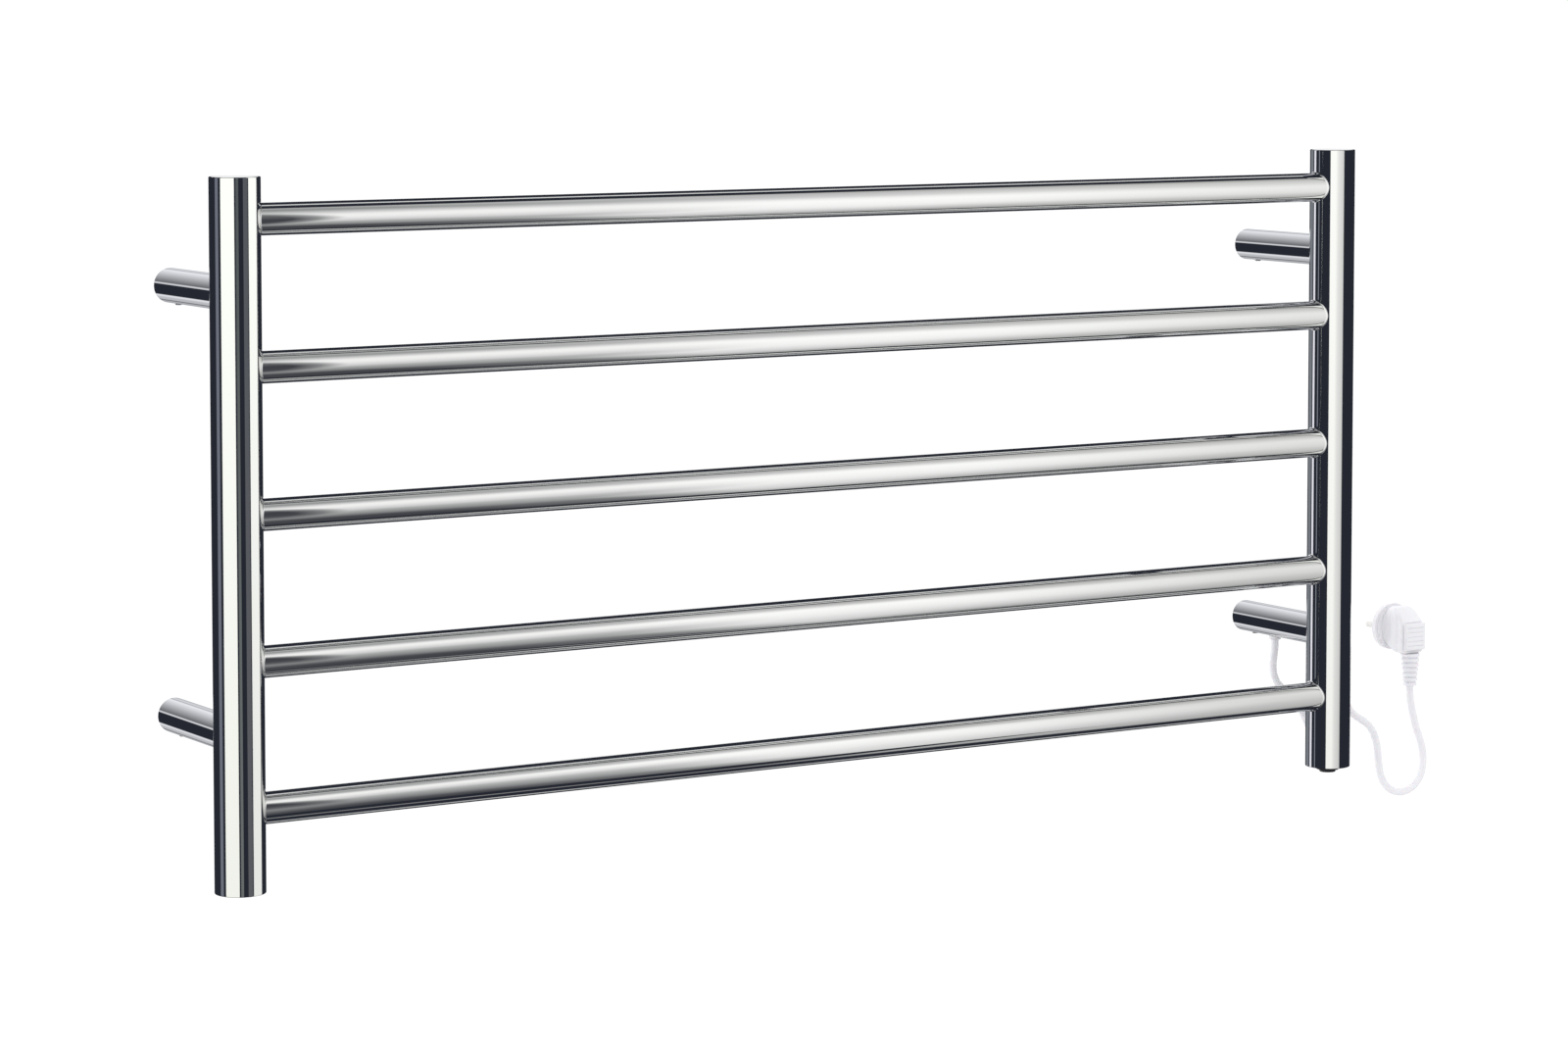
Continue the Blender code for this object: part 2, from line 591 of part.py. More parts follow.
def hank_half_width(height):
    """Half width of the hank at a height above its middle: waisted where it is tied, round at its ends."""
    beyond = abs(height) - HANK_HALF_STRAIGHT
    if beyond > 0:
        return math.sqrt(max(HANK_HALF_WIDTH ** 2 - beyond ** 2, 0))
    return HANK_HALF_WIDTH - HANK_WAIST * (1 + math.cos(math.pi * height / HANK_HALF_STRAIGHT)) / 2


def make_power_cord():
    for name, route in (("power_cord_upper", UPPER_ROUTE), ("power_cord_lower", LOWER_ROUTE)):
        wire(name, [tuple(Vector(p) * MM) for p in smooth_route(route, 7.5)], CORD_RADIUS, WHITE)
    side = []
    straight_steps, round_steps = 12, 9
    for k in range(straight_steps + 1):
        height = HANK_HALF_STRAIGHT * (2 * k / straight_steps - 1)
        side.append((hank_half_width(height), height))
    for k in range(1, round_steps):
        turn = math.pi / 2 * k / round_steps
        side.append((HANK_HALF_WIDTH * math.cos(turn), HANK_HALF_STRAIGHT + HANK_HALF_WIDTH * math.sin(turn)))
    top_half = side + [(0, HANK_HALF_STRAIGHT + HANK_HALF_WIDTH)]
    right = [(x, -y) for x, y in reversed(top_half) if y > HANK_HALF_STRAIGHT] + top_half
    outline = right + [(-x, y) for x, y in reversed(right[1:-1])]
    flat("power_cord_hank", (outline,), 2 * HANK_HALF_THICKNESS, WHITE, HANK_CENTRE,
         (math.pi / 2, 0, HANK_TURN))
    inner_x, inner_y = hank_half_width(TIE_HALF_HEIGHT) + GAP, HANK_HALF_THICKNESS + GAP
    band = (rounded(inner_x + TIE_THICKNESS, inner_y + TIE_THICKNESS, 1.6 * MM, 3),
            rounded(inner_x, inner_y, 0.8 * MM, 3))
    flat("cord_tie", band, 2 * TIE_HALF_HEIGHT, BLACK, HANK_CENTRE, (0, 0, HANK_TURN))


# ---------------------------------------------------------------- plug

def plug_section(behind, half_width, low, high, power, count=24):
    """One cross-section of the plug's cover: a superellipse at a distance behind the face."""
    middle, half_height = (low + high) / 2, (high - low) / 2
    points = []
    for k in range(count):
        turn = 2 * math.pi * k / count
        c, s = math.cos(turn), math.sin(turn)
        points.append(Vector((
            half_width * math.copysign(abs(c) ** (2 / power), c), -behind,
            middle + half_height * math.copysign(abs(s) ** (2 / power), s))) * MM)
    return points


def make_plug():
    face = Vector((PLUG_X, PLUG_FACE_Y, PLUG_Z))
    base = turned("plug_base", rod(PLUG_RADIUS, 0, PLUG_BASE, 0.8 * MM), WHITE, 28, face, OUT_FROM_WALL)
    for i, way in enumerate((-1, 1)):
        notch = box(f"earth_notch_{i + 1}", (PLUG_X - EARTH_NOTCH / 2, PLUG_FACE_Y - 5 * MM, 0),
                    (PLUG_X + EARTH_NOTCH / 2, PLUG_FACE_Y + 5 * MM, 6 * MM))
        notch.location.z = PLUG_Z + way * 19.2 * MM
        cut(base, notch)
        clip = box(f"plug_earth_clip_{i + 1}", (PLUG_X - CLIP_WIDTH / 2, PLUG_FACE_Y - 4.6 * MM, 0),
                   (PLUG_X + CLIP_WIDTH / 2, PLUG_FACE_Y - 0.2 * MM, CLIP_THICKNESS), STEEL, 0.2 * MM)
        clip.location.z = PLUG_Z + way * CLIP_FROM_CENTRE
        turned(f"plug_pin_{i + 1}", [
            (0, -GAP), (PIN_RADIUS, -GAP), (PIN_RADIUS, -PIN_LENGTH + 2.2 * MM),
            (PIN_RADIUS - 0.4 * MM, -PIN_LENGTH + 0.8 * MM), (PIN_RADIUS / 2, -PIN_LENGTH), (0, -PIN_LENGTH)],
            STEEL, 12, face + Vector((way * PIN_SPACING / 2, 0, 0)), OUT_FROM_WALL)

    sections = [plug_section(*row) for row in (
        (6.3, 12.0, -16.0, 16.0, 2.6), (8.5, 11.5, -17.5, 17.2, 3.2), (14.5, 11.2, -19.2, 18.0, 4),
        (18.0, 11.5, -20.0, 17.4, 5), (24.5, 11.5, -20.0, 13.4, 6), (29.0, 11.5, -20.0, 8.6, 6),
        (30.4, 11.3, -19.8, 7.4, 6), (31.0, 10.9, -19.4, 6.8, 6))]

    def loft(shape):
        rings = [[shape.verts.new(point) for point in section] for section in sections]
        for near, far in zip(rings, rings[1:]):
            for k in range(len(near)):
                after = (k + 1) % len(near)
                shape.faces.new((near[k], near[after], far[after], far[k]))
        shape.faces.new(rings[0])
        shape.faces.new(reversed(rings[-1]))
        bmesh.ops.recalc_face_normals(shape, faces=shape.faces)

    add("plug_cover", mesh_from("plug_cover", loft), WHITE, face)
    flat("plug_grip_pad", (rounded(10.4 * MM, 11.2 * MM, 2 * MM, 4),), GRIP_THICKNESS, WHITE,
         face - Vector((0, GRIP_BEHIND_FACE, GRIP_BELOW_CENTRE)), (math.pi / 2, 0, 0))
    make_plug_boot(face)


def make_plug_boot(face):
    """Strain relief that tapers down from the cover in six ribs to just above the lead."""
    start = BOOT_TOP - 2.4 * MM
    pitch = (start - BOOT_BOTTOM) / BOOT_RIBS
    profile = [(0, BOOT_TOP), (BOOT_WIDE, BOOT_TOP), (BOOT_WIDE, start)]
    for k in range(BOOT_RIBS):
        radius = BOOT_WIDE - (BOOT_WIDE - BOOT_NARROW) * (k + 1) / BOOT_RIBS
        high = start - k * pitch
        profile += [(radius - 1.1 * MM, high - 0.6 * MM), (radius, high - 2.0 * MM), (radius, high - pitch)]
    profile += [(0, BOOT_BOTTOM)]
    turned("plug_boot", profile, WHITE, 16, face + Vector((0, -BOOT_BEHIND_FACE, 0)))


def main():
    clearances = post_clearances()
    make_posts()
    make_bars(clearances)
    make_standoffs(clearances)
    make_heating_cable()
    make_junction()
    make_lead_entry()
    make_switch()
    make_power_cord()
    make_plug()


main()
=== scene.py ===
import json
import math

import bmesh
import bpy
import numpy as np
from mathutils import Matrix, Vector


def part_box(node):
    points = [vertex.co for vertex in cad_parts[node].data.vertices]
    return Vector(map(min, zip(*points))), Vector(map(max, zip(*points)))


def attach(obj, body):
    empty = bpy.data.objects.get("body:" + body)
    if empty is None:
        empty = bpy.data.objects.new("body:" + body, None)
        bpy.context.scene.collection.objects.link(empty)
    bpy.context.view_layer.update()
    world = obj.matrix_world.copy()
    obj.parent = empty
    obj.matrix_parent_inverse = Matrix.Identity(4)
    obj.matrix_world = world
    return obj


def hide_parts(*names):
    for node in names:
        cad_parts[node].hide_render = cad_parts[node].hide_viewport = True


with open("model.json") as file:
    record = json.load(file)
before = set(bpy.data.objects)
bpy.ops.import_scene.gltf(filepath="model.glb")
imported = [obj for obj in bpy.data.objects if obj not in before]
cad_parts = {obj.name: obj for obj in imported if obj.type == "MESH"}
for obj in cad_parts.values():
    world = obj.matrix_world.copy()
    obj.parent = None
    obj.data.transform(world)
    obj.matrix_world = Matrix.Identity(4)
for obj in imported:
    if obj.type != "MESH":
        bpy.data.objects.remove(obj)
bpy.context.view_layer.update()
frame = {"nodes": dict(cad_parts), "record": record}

MM = 0.001
RACK = "rack"
BUTTON = "button"
BARS = [f"bar_{i}" for i in range(1, 6)]
STANDOFFS = [f"{level}_{side}_standoff" for level in ("upper", "lower") for side in ("left", "right")]


# ---------------------------------------------------------------- meshes

def unit(vector):
    vector = np.asarray(vector, float)
    return vector / np.linalg.norm(vector)


def linked(name, data):
    """A new object in the scene that shows a mesh or a curve."""
    made = bpy.data.objects.new(name, data)
    bpy.context.scene.collection.objects.link(made)
    return made


def ring_faces(count, across, breaks=()):
    """The faces between neighbouring rings, except from ring b to ring b + 1 for b in breaks."""
    faces = []
    for i in range(count - 1):
        if i in breaks:
            continue
        for k in range(across):
            a, b = i * across + k, i * across + (k + 1) % across
            faces.append((a, b, b + across, a + across))
    return faces


def grid(name, rows, normals, breaks=()):
    """A surface through rings of points with the normals given."""
    rows, normals = np.asarray(rows, float), np.asarray(normals, float)
    count, across = rows.shape[:2]
    verts = [tuple(p) for p in rows.reshape(-1, 3)]
    vertex_normals = [tuple(n) for n in normals.reshape(-1, 3)]
    data = bpy.data.meshes.new(name)
    data.from_pydata(verts, [], ring_faces(count, across, breaks))
    data.update()
    first = data.polygons[0]
    if first.normal.dot(Vector(vertex_normals[first.vertices[0]])) < 0:
        data.flip_normals()
    data.shade_smooth()
    data.normals_split_custom_set_from_vertices(vertex_normals)
    return linked(name, data)


# Turns, in radians, that are too slight to round or that make a hard edge.
NEARLY_STRAIGHT = 0.01
HARD_TURN = 0.35


def profile(points, pieces):
    """Points, normals and breaks along a section, from its corners (radius, height, rounding).

    The corners run down the outer side. A corner without rounding that turns hard gets a break.
    """
    places, normals, breaks = [], [], []

    def put(place, normal):
        places.append((place[0], place[1]))
        normals.append((normal[0], normal[1]))

    corners = [np.array(p[:2], float) for p in points]
    rounds = [p[2] if len(p) > 2 else 0 for p in points]
    ways = [unit(b - a) for a, b in zip(corners, corners[1:])]
    outs = [np.array((-way[1], way[0])) for way in ways]
    put(corners[0], outs[0])
    for i in range(1, len(corners) - 1):
        before, after = outs[i - 1], outs[i]
        turn = math.acos(max(-1, min(1, float(np.dot(before, after)))))
        if rounds[i] and turn > NEARLY_STRAIGHT:
            reach = rounds[i] * math.tan(turn / 2)
            start = corners[i] - ways[i - 1] * reach
            convex = before[0] * after[1] - before[1] * after[0] < 0
            radius = rounds[i] * (1 if convex else -1)
            centre = start - before * radius
            for k in range(pieces + 1):
                mix = k / pieces
                normal = before * math.sin((1 - mix) * turn) + after * math.sin(mix * turn)
                normal /= math.sin(turn)
                put(centre + normal * radius, normal)
        elif turn > HARD_TURN:
            put(corners[i], before)
            breaks.append(len(places) - 1)
            put(corners[i], after)
        else:
            put(corners[i], unit(before + after))
    put(corners[-1], outs[-1])
    return places, normals, breaks


AXES = {"Z": ((1, 0, 0), (0, 1, 0), (0, 0, 1)), "-Y": ((1, 0, 0), (0, 0, 1), (0, -1, 0))}
# The radius, in metres, of points on a piece's own axis.
ON_AXIS = 1e-6


def turned(name, points, at, axis="Z", steps=64, pieces=5):
    """A lathe-turned piece about an axis through a point, with exact normals."""
    places, outs, breaks = profile(points, pieces)
    across, up, along = (np.array(v, float) for v in AXES[axis])
    turns = [2 * math.pi * k / steps for k in range(steps)]
    ways = [across * math.cos(turn) + up * math.sin(turn) for turn in turns]
    rows = [[np.array(at) + way * max(radius, ON_AXIS) + along * height for way in ways]
            for radius, height in places]
    normals = [[way * out + along * lift for way in ways] for out, lift in outs]
    return grid(name, rows, normals, breaks=breaks)


def smooth_route(route, spacing):
    """Evenly spaced points on the natural cubic spline through a route."""
    knots = np.array(route, float)
    chord = np.linalg.norm(np.diff(knots, axis=0), axis=1)
    at = np.concatenate([[0], np.cumsum(chord)])
    count = len(knots)
    system = np.zeros((count, count))
    right = np.zeros((count, knots.shape[1]))
    system[0, 0] = system[-1, -1] = 1
    for i in range(1, count - 1):
        before, after = chord[i - 1], chord[i]
        system[i, i - 1:i + 2] = before, 2 * (before + after), after
        right[i] = 6 * ((knots[i + 1] - knots[i]) / after - (knots[i] - knots[i - 1]) / before)
    bend = np.linalg.solve(system, right)
    steps = max(2, round(at[-1] / spacing))
    places = []
    for where in np.linspace(0, at[-1], steps + 1):
        i = min(int(np.searchsorted(at, where, side="right")) - 1, count - 2)
        span = chord[i]
        far, near = (where - at[i]) / span, (at[i + 1] - where) / span
        straight = near * knots[i] + far * knots[i + 1]
        curved = (near ** 3 - near) * bend[i] + (far ** 3 - far) * bend[i + 1]
        places.append(straight + curved * span ** 2 / 6)
    return places


# ---------------------------------------------------------------- materials

def nodes_of(name):
    """A new material with its node tree and its shader."""
    material = bpy.data.materials.new(name)
    material.use_nodes = True
    tree = material.node_tree
    return material, tree, tree.nodes["Principled BSDF"]


def noise(tree, place, scale, detail):
    """Soft noise from 0 to 1 over a place."""
    node = tree.nodes.new("ShaderNodeTexNoise")
    node.inputs["Scale"].default_value = scale
    node.inputs["Detail"].default_value = detail
    tree.links.new(place, node.inputs["Vector"])
    return node.outputs["Fac"]


def grain(tree, shader, scale, height, distance=0.00002, stretch=(1, 1, 1)):
    """Fine surface relief from noise in the object's own space. Returns the place in that space."""
    place = tree.nodes.new("ShaderNodeTexCoord").outputs["Object"]
    fit = tree.nodes.new("ShaderNodeMapping")
    fit.inputs["Scale"].default_value = stretch
    bump = tree.nodes.new("ShaderNodeBump")
    bump.inputs["Strength"].default_value = height
    bump.inputs["Distance"].default_value = distance
    tree.links.new(place, fit.inputs["Vector"])
    tree.links.new(noise(tree, fit.outputs["Vector"], scale, 3.0), bump.inputs["Height"])
    tree.links.new(bump.outputs["Normal"], shader.inputs["Normal"])
    return place


# Soft noise hardly leaves this range.
NOISE_LOW, NOISE_HIGH = 0.35, 0.65


def clouded(tree, place, target, scale, low, high):
    """Varies a value between low and high in soft patches."""
    spread = tree.nodes.new("ShaderNodeMapRange")
    spread.inputs["From Min"].default_value = NOISE_LOW
    spread.inputs["From Max"].default_value = NOISE_HIGH
    spread.inputs["To Min"].default_value = low
    spread.inputs["To Max"].default_value = high
    tree.links.new(noise(tree, place, scale, 4.0), spread.inputs["Value"])
    tree.links.new(spread.outputs["Result"], target)


METAL_RELIEF = 0.000004


def metal(name, colour, rough, relief, scale, stretch=(1, 1, 1), metallic=1.0):
    """A metal with a faint relief, whose gloss varies in soft patches."""
    material, tree, shader = nodes_of(name)
    shader.inputs["Base Color"].default_value = (*colour, 1)
    shader.inputs["Metallic"].default_value = metallic
    place = grain(tree, shader, scale, relief, METAL_RELIEF, stretch)
    clouded(tree, place, shader.inputs["Roughness"], 18, rough * 0.8, rough * 1.3)
    return material


def polished(part, stretch):
    """Polished stainless steel, its relief drawn out along the tube."""
    return metal(f"polished steel, {part}", (0.90, 0.905, 0.89), 0.03, 0.02, 700, stretch)


def plastic(name, colour, rough, relief, scale, tint=0.03, soft=0.0):
    """A plastic with a fine relief, whose gloss and colour vary a little in soft patches."""
    material, tree, shader = nodes_of(name)
    shader.inputs["Base Color"].default_value = (*colour, 1)
    shader.inputs["Subsurface Weight"].default_value = soft
    shader.inputs["Subsurface Scale"].default_value = 0.002
    place = grain(tree, shader, scale, relief)
    clouded(tree, place, shader.inputs["Roughness"], 60, rough * 0.85, rough * 1.15)
    mix = tree.nodes.new("ShaderNodeMix")
    mix.data_type = "RGBA"
    mix.inputs["A"].default_value = (*colour, 1)
    mix.inputs["B"].default_value = (*[c * (1 - tint) for c in colour], 1)
    tree.links.new(noise(tree, place, 35, 2.0), mix.inputs["Factor"])
    tree.links.new(mix.outputs["Result"], shader.inputs["Base Color"])
    return material


POLISHED_UPRIGHT = polished("upright", (1, 1, 0.02))
POLISHED_BAR = polished("bar", (0.02, 1, 1))
POLISHED_ARM = polished("standoff", (1, 0.05, 1))
ZINC = metal("zinc plated steel", (0.62, 0.63, 0.64), 0.28, 0.4, 1600)
NICKEL = metal("nickel plated brass", (0.88, 0.87, 0.84), 0.4, 0.2, 1200, metallic=0.35)
BRASS = metal("brass", (0.78, 0.58, 0.26), 0.25, 0.3, 1200)
BLACK = plastic("black plastic", (0.02, 0.02, 0.024), 0.32, 0.3, 1500)
BLACK_FABRIC = plastic("black hook and loop band", (0.018, 0.018, 0.02), 0.85, 0.9, 2600, 0.3)
WHITE = plastic("white plastic", (0.79, 0.785, 0.815), 0.38, 0.2, 2200, 0.015, 0.05)
PVC = plastic("white soft plastic", (0.79, 0.785, 0.82), 0.42, 0.25, 1800, 0.02, 0.08)
SILICONE = plastic("red silicone", (0.45, 0.08, 0.05), 0.55, 0.4, 900, 0.1)
CERAMIC = plastic("pale ceramic", (0.80, 0.77, 0.68), 0.6, 0.5, 1100, 0.06)
BROWN = plastic("brown insulation", (0.22, 0.10, 0.05), 0.5, 0.3, 1100, 0.1)
GREEN = plastic("green insulation", (0.10, 0.36, 0.10), 0.5, 0.3, 1100, 0.1)


def dress(piece, material, slot, *nodes, body=RACK):
    """Gives a piece its look and its body, and hides the CAD nodes that it replaces. The slot is not used.
    """
    piece.data.materials.clear()
    piece.data.materials.append(material)
    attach(piece, body)
    if nodes:
        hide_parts(*nodes)
    return piece


# ---------------------------------------------------------------- tubes

def box_of(node):
    """The lowest and the highest corner of a CAD node, and its middle."""
    low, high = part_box(node)
    return low, high, [(a + b) / 2 for a, b in zip(low, high)]


TUBE_WALL = 1.5 * MM


def post(side):
    """A post's tube with its rounded ends, and the discs that close it."""
    low, high, (x, y, _) = box_of(f"{side}_post")
    centre = (x, y, 0)
    radius = (high.x - low.x) / 2
    inner, edge, inner_edge, lip = radius - TUBE_WALL, 0.5 * MM, 0.12 * MM, 3 * MM
    piece = turned(f"{side}_post_tube", [
        (inner, high.z - lip), (inner, high.z, inner_edge), (radius, high.z, edge), (radius, low.z, edge),
        (inner, low.z, inner_edge), (inner, low.z + lip)], centre, steps=128, pieces=6)
    dress(piece, POLISHED_UPRIGHT, "stainless", f"{side}_post")
    disc_radius, disc_edge, disc_depth = inner - 0.12 * MM, 0.15 * MM, 2 * MM
    ends = {"top": high.z, "bottom": low.z} if side == "left" else {"top": high.z}
    for end, z in ends.items():
        if end == "top":
            disc = [(0, z), (disc_radius, z, disc_edge), (disc_radius, z - disc_depth)]
        else:
            disc = [(disc_radius, z + disc_depth), (disc_radius, z, disc_edge), (0, z)]
        cap = turned(f"{side}_post_{end}_disc", disc, centre, steps=96)
        dress(cap, POLISHED_UPRIGHT, "stainless", f"{side}_post_{end}_cap")
    return Vector(centre), radius


LEFT_POST, POST_RADIUS = post("left")
RIGHT_POST, _ = post("right")


FILLET_PIECES = 6
TUBE_STEPS = 96


def butted(axis_at, radius, across, up, along, post_at, size):
    """Rings and normals of the fillet, of a given size, where a horizontal tube meets an upright post.

    Along is the tube's way towards the post, and the rings run from the tube to the post.
    """
    axis_at, across, up, along = (np.array(v, float) for v in (axis_at, across, up, along))
    post_at = np.array(post_at, float)

    def hit(grown, turn):
        """Where a tube of a given radius meets the post, at a turn about the tube's axis."""
        start = axis_at + (across * math.cos(turn) + up * math.sin(turn)) * grown
        sideways = float(np.dot(start - post_at, across))
        depth = math.sqrt(max(POST_RADIUS ** 2 - sideways ** 2, 0))
        reach = float(np.dot(post_at - start, along)) - depth
        return start + along * reach

    rows, normals = [], []
    for j in range(FILLET_PIECES + 1):
        mix = j / FILLET_PIECES
        row, row_normals = [], []
        for k in range(TUBE_STEPS):
            turn = 2 * math.pi * k / TUBE_STEPS
            out = across * math.cos(turn) + up * math.sin(turn)
            corner = hit(radius, turn)
            on_tube = corner - along * size
            on_post = hit(radius + size, turn)
            place = (1 - mix) ** 2 * on_tube + 2 * mix * (1 - mix) * corner + mix ** 2 * on_post
            post_out = on_post - post_at
            post_out[2] = 0
            row.append(place)
            row_normals.append(unit(out * (1 - mix) + unit(post_out) * mix))
        rows.append(row)
        normals.append(row_normals)
    return rows, normals


def bar(name):
    """A bar's tube, welded to both posts."""
    low, high, (_, y, z) = box_of(name)
    radius, weld = (high.z - low.z) / 2, 0.9 * MM
    across, up = (0, 1, 0), (0, 0, 1)
    right_rows, right_normals = butted((0, y, z), radius, across, up, (1, 0, 0), RIGHT_POST, weld)
    left_rows, left_normals = butted((0, y, z), radius, across, up, (-1, 0, 0), LEFT_POST, weld)
    piece = grid(f"{name}_tube", left_rows[::-1] + right_rows, left_normals[::-1] + right_normals)
    return dress(piece, POLISHED_BAR, "stainless", name)


def standoff(name):
    """A standoff's tube, open at the wall and welded to its post."""
    low, high, (x, _, z) = box_of(name)
    radius, weld = (high.x - low.x) / 2, 0.8 * MM
    at = LEFT_POST if x < 0 else RIGHT_POST
    rows, normals = butted((x, 0, z), radius, (1, 0, 0), (0, 0, 1), (0, -1, 0), at, weld)
    inner = radius - TUBE_WALL
    edge, inner_edge, bore, collar = 0.4 * MM, 0.1 * MM, 6 * MM, 2 * MM
    places, outs, breaks = profile([
        (inner, high.y - bore), (inner, high.y, inner_edge), (radius, high.y, edge),
        (radius, high.y - collar)], 4)
    turns = [2 * math.pi * k / TUBE_STEPS for k in range(TUBE_STEPS)]
    ring = [(math.cos(turn), math.sin(turn)) for turn in turns]
    end_rows, end_normals = [], []
    for (r, y), (out, lift) in zip(places, outs):
        end_rows.append([(x + r * c, y, z + r * s) for c, s in ring])
        end_normals.append([(out * c, lift, out * s) for c, s in ring])
    piece = grid(f"{name}_tube", end_rows + list(rows), end_normals + list(normals), breaks=breaks)
    return dress(piece, POLISHED_ARM, "stainless", name)


BAR_TUBES = [bar(name) for name in BARS]
STANDOFF_TUBES = [standoff(name) for name in STANDOFFS]


# ---------------------------------------------------------------- lead

# The lead from its gland to the hank and from the hank to the plug, in millimetres.
UPPER_ROUTE = (
    (482.0, -42.0, -169.9), (482.0, -42.0, -174.0), (481.0, -42.4, -181.0), (479.4, -43.1, -188.5),
    (479.3, -43.5, -196.0), (482.3, -43.3, -203.6), (488.1, -42.7, -209.8), (495.8, -41.8, -215.0),
    (503.6, -40.9, -221.2), (510.2, -40.4, -229.0), (515.0, -40.4, -238.0),
)
LOWER_ROUTE = (
    (551.6, -55.0, -233.5), (558.5, -54.6, -239.0), (566.5, -54.2, -243.5), (573.8, -53.9, -249.6),
    (579.0, -53.4, -258.0), (582.3, -52.8, -269.0), (584.3, -52.2, -281.5), (588.4, -51.6, -294.5),
    (597.6, -51.0, -304.0), (610.6, -50.6, -307.6), (623.0, -50.2, -304.0), (631.4, -49.9, -294.6),
    (634.2, -49.6, -282.0), (632.4, -49.2, -269.5), (628.0, -48.6, -257.0), (624.2, -48.0, -243.5),
    (621.6, -47.5, -230.5), (621.0, -47.4, -224.5), (621.0, -47.4, -219.0),
)
HANK_CENTRE = np.array((522.1, -62.0, -222.0))
HANK_TURN = math.radians(51.3)
HANK_BACK = np.array((math.cos(HANK_TURN), math.sin(HANK_TURN), 0))
HANK_RIGHT = np.array((math.sin(HANK_TURN), -math.cos(HANK_TURN), 0))
# The folds' radius, half the straight runs, how far the tie pulls each run in,
# half the stack's width, and the distance between neighbouring turns.
HANK_FOLD, HANK_STRAIGHT, HANK_WAIST = 19.0, 31.0, 8.1
HANK_SPREAD, HANK_PITCH = 12.4, 6.2
HANK_BEND = math.pi * HANK_FOLD
HANK_LAP = 4 * HANK_STRAIGHT + 2 * HANK_BEND
# The laps, how far into the first one the lead joins, and how far before the last one's end it leaves.
HANK_LAPS, HANK_START, HANK_SHORT = 4, 26.0, 14.0
# The first turn starts this far outside the stack and joins it over this run.
HANK_EASE, HANK_EASE_RUN = 3.0, 40.0
HANK_KNOTS_PER_LAP = 18
LEAD_RADIUS = 3 * MM
LEAD_SPACING = 2.6


def hank_point(run, turns):
    """A point on the hank, in millimetres.

    Run is the distance round its racetrack, from the middle of its back run going down.
    """
    straight, fold, bend = HANK_STRAIGHT, HANK_FOLD, HANK_BEND
    run %= HANK_LAP
    if run < straight:
        across, up = fold, -run
    elif run < straight + bend:
        turn = (run - straight) / fold
        across, up = fold * math.cos(turn), -straight - fold * math.sin(turn)
    elif run < 3 * straight + bend:
        across, up = -fold, -straight + (run - straight - bend)
    elif run < 3 * straight + 2 * bend:
        turn = (run - 3 * straight - bend) / fold
        across, up = -fold * math.cos(turn), straight + fold * math.sin(turn)
    else:
        across, up = fold, straight - (run - 3 * straight - 2 * bend)
    if abs(up) < straight:
        pinch = HANK_WAIST * (1 + math.cos(math.pi * up / straight)) / 2
        across -= math.copysign(pinch, across)
    sideways = -HANK_SPREAD + HANK_PITCH * turns
    return HANK_CENTRE + HANK_BACK * across + HANK_RIGHT * sideways + np.array((0, 0, up))


def cord_route():
    """The knots of the whole lead, from the gland through the hank to the plug."""
    first, last = HANK_START, HANK_LAPS * HANK_LAP - HANK_SHORT
    span = last - first
    count = round(span / HANK_LAP * HANK_KNOTS_PER_LAP)
    hank = []
    for k in range(count + 1):
        run = first + span * k / count
        turns = (run - first) / span * 2 * HANK_SPREAD / HANK_PITCH
        easing = max(0, 1 - (run - first) / HANK_EASE_RUN) ** 2 * HANK_EASE / HANK_PITCH
        hank.append(hank_point(run, turns - easing))
    return [np.array(p) for p in UPPER_ROUTE] + hank + [np.array(p) for p in LOWER_ROUTE]


def tube_curve(name, points, radius):
    """A round tube through points, closed at both ends."""
    curve = bpy.data.curves.new(name, "CURVE")
    curve.dimensions = "3D"
    curve.bevel_depth = radius
    curve.bevel_resolution = 5
    curve.use_fill_caps = True
    spline = curve.splines.new("POLY")
    spline.points.add(len(points) - 1)
    for point, place in zip(spline.points, points):
        point.co = (*place, 1)
    spline.use_smooth = True
    return linked(name, curve)


lead_points = [p * MM for p in smooth_route(cord_route(), LEAD_SPACING)]
lead = tube_curve("mains_lead", lead_points, LEAD_RADIUS)
dress(lead, PVC, "white_pvc", "power_cord_upper", "power_cord_hank", "power_cord_lower")


# ---------------------------------------------------------------- small metal and plastic pieces

def mm(*points):
    """Profile points given in millimetres."""
    return [tuple(value * MM for value in point) for point in points]


def block(name, low, high, edge):
    """A box between two corners with rounded edges."""
    bpy.ops.mesh.primitive_cube_add(size=1)
    made = bpy.context.object
    made.name = name
    low, high = Vector(low), Vector(high)
    made.data.transform(Matrix.Translation((low + high) / 2) @ Matrix.Diagonal((*(high - low), 1)))
    bevel = made.modifiers.new("edge", "BEVEL")
    bevel.width = edge
    bevel.segments = 3
    bevel.harden_normals = True
    made.data.shade_smooth()
    return made


def carve(piece, *cutters):
    """Cuts the cutters out of a piece for good and removes them."""
    for cutter in cutters:
        step = piece.modifiers.new(cutter.name, "BOOLEAN")
        step.operation = "DIFFERENCE"
        step.solver = "EXACT"
        step.object = cutter
    bpy.context.view_layer.update()
    shape = bpy.data.meshes.new_from_object(piece.evaluated_get(bpy.context.evaluated_depsgraph_get()))
    piece.modifiers.clear()
    piece.data = shape
    for cutter in cutters:
        bpy.data.objects.remove(cutter)
    return piece


def smooth_by_angle(piece, degrees=32):
    """Smooth shading, with a sharp edge wherever two faces meet at more than an angle."""
    shape = piece.data
    limit = math.radians(degrees)
    sides = {}
    for face in shape.polygons:
        face.use_smooth = True
        for key in face.edge_keys:
            sides.setdefault(key, []).append(face.normal)
    for edge in shape.edges:
        pair = sides[edge.key]
        edge.use_edge_sharp = len(pair) == 2 and pair[0].angle(pair[1], 0) > limit
    return piece


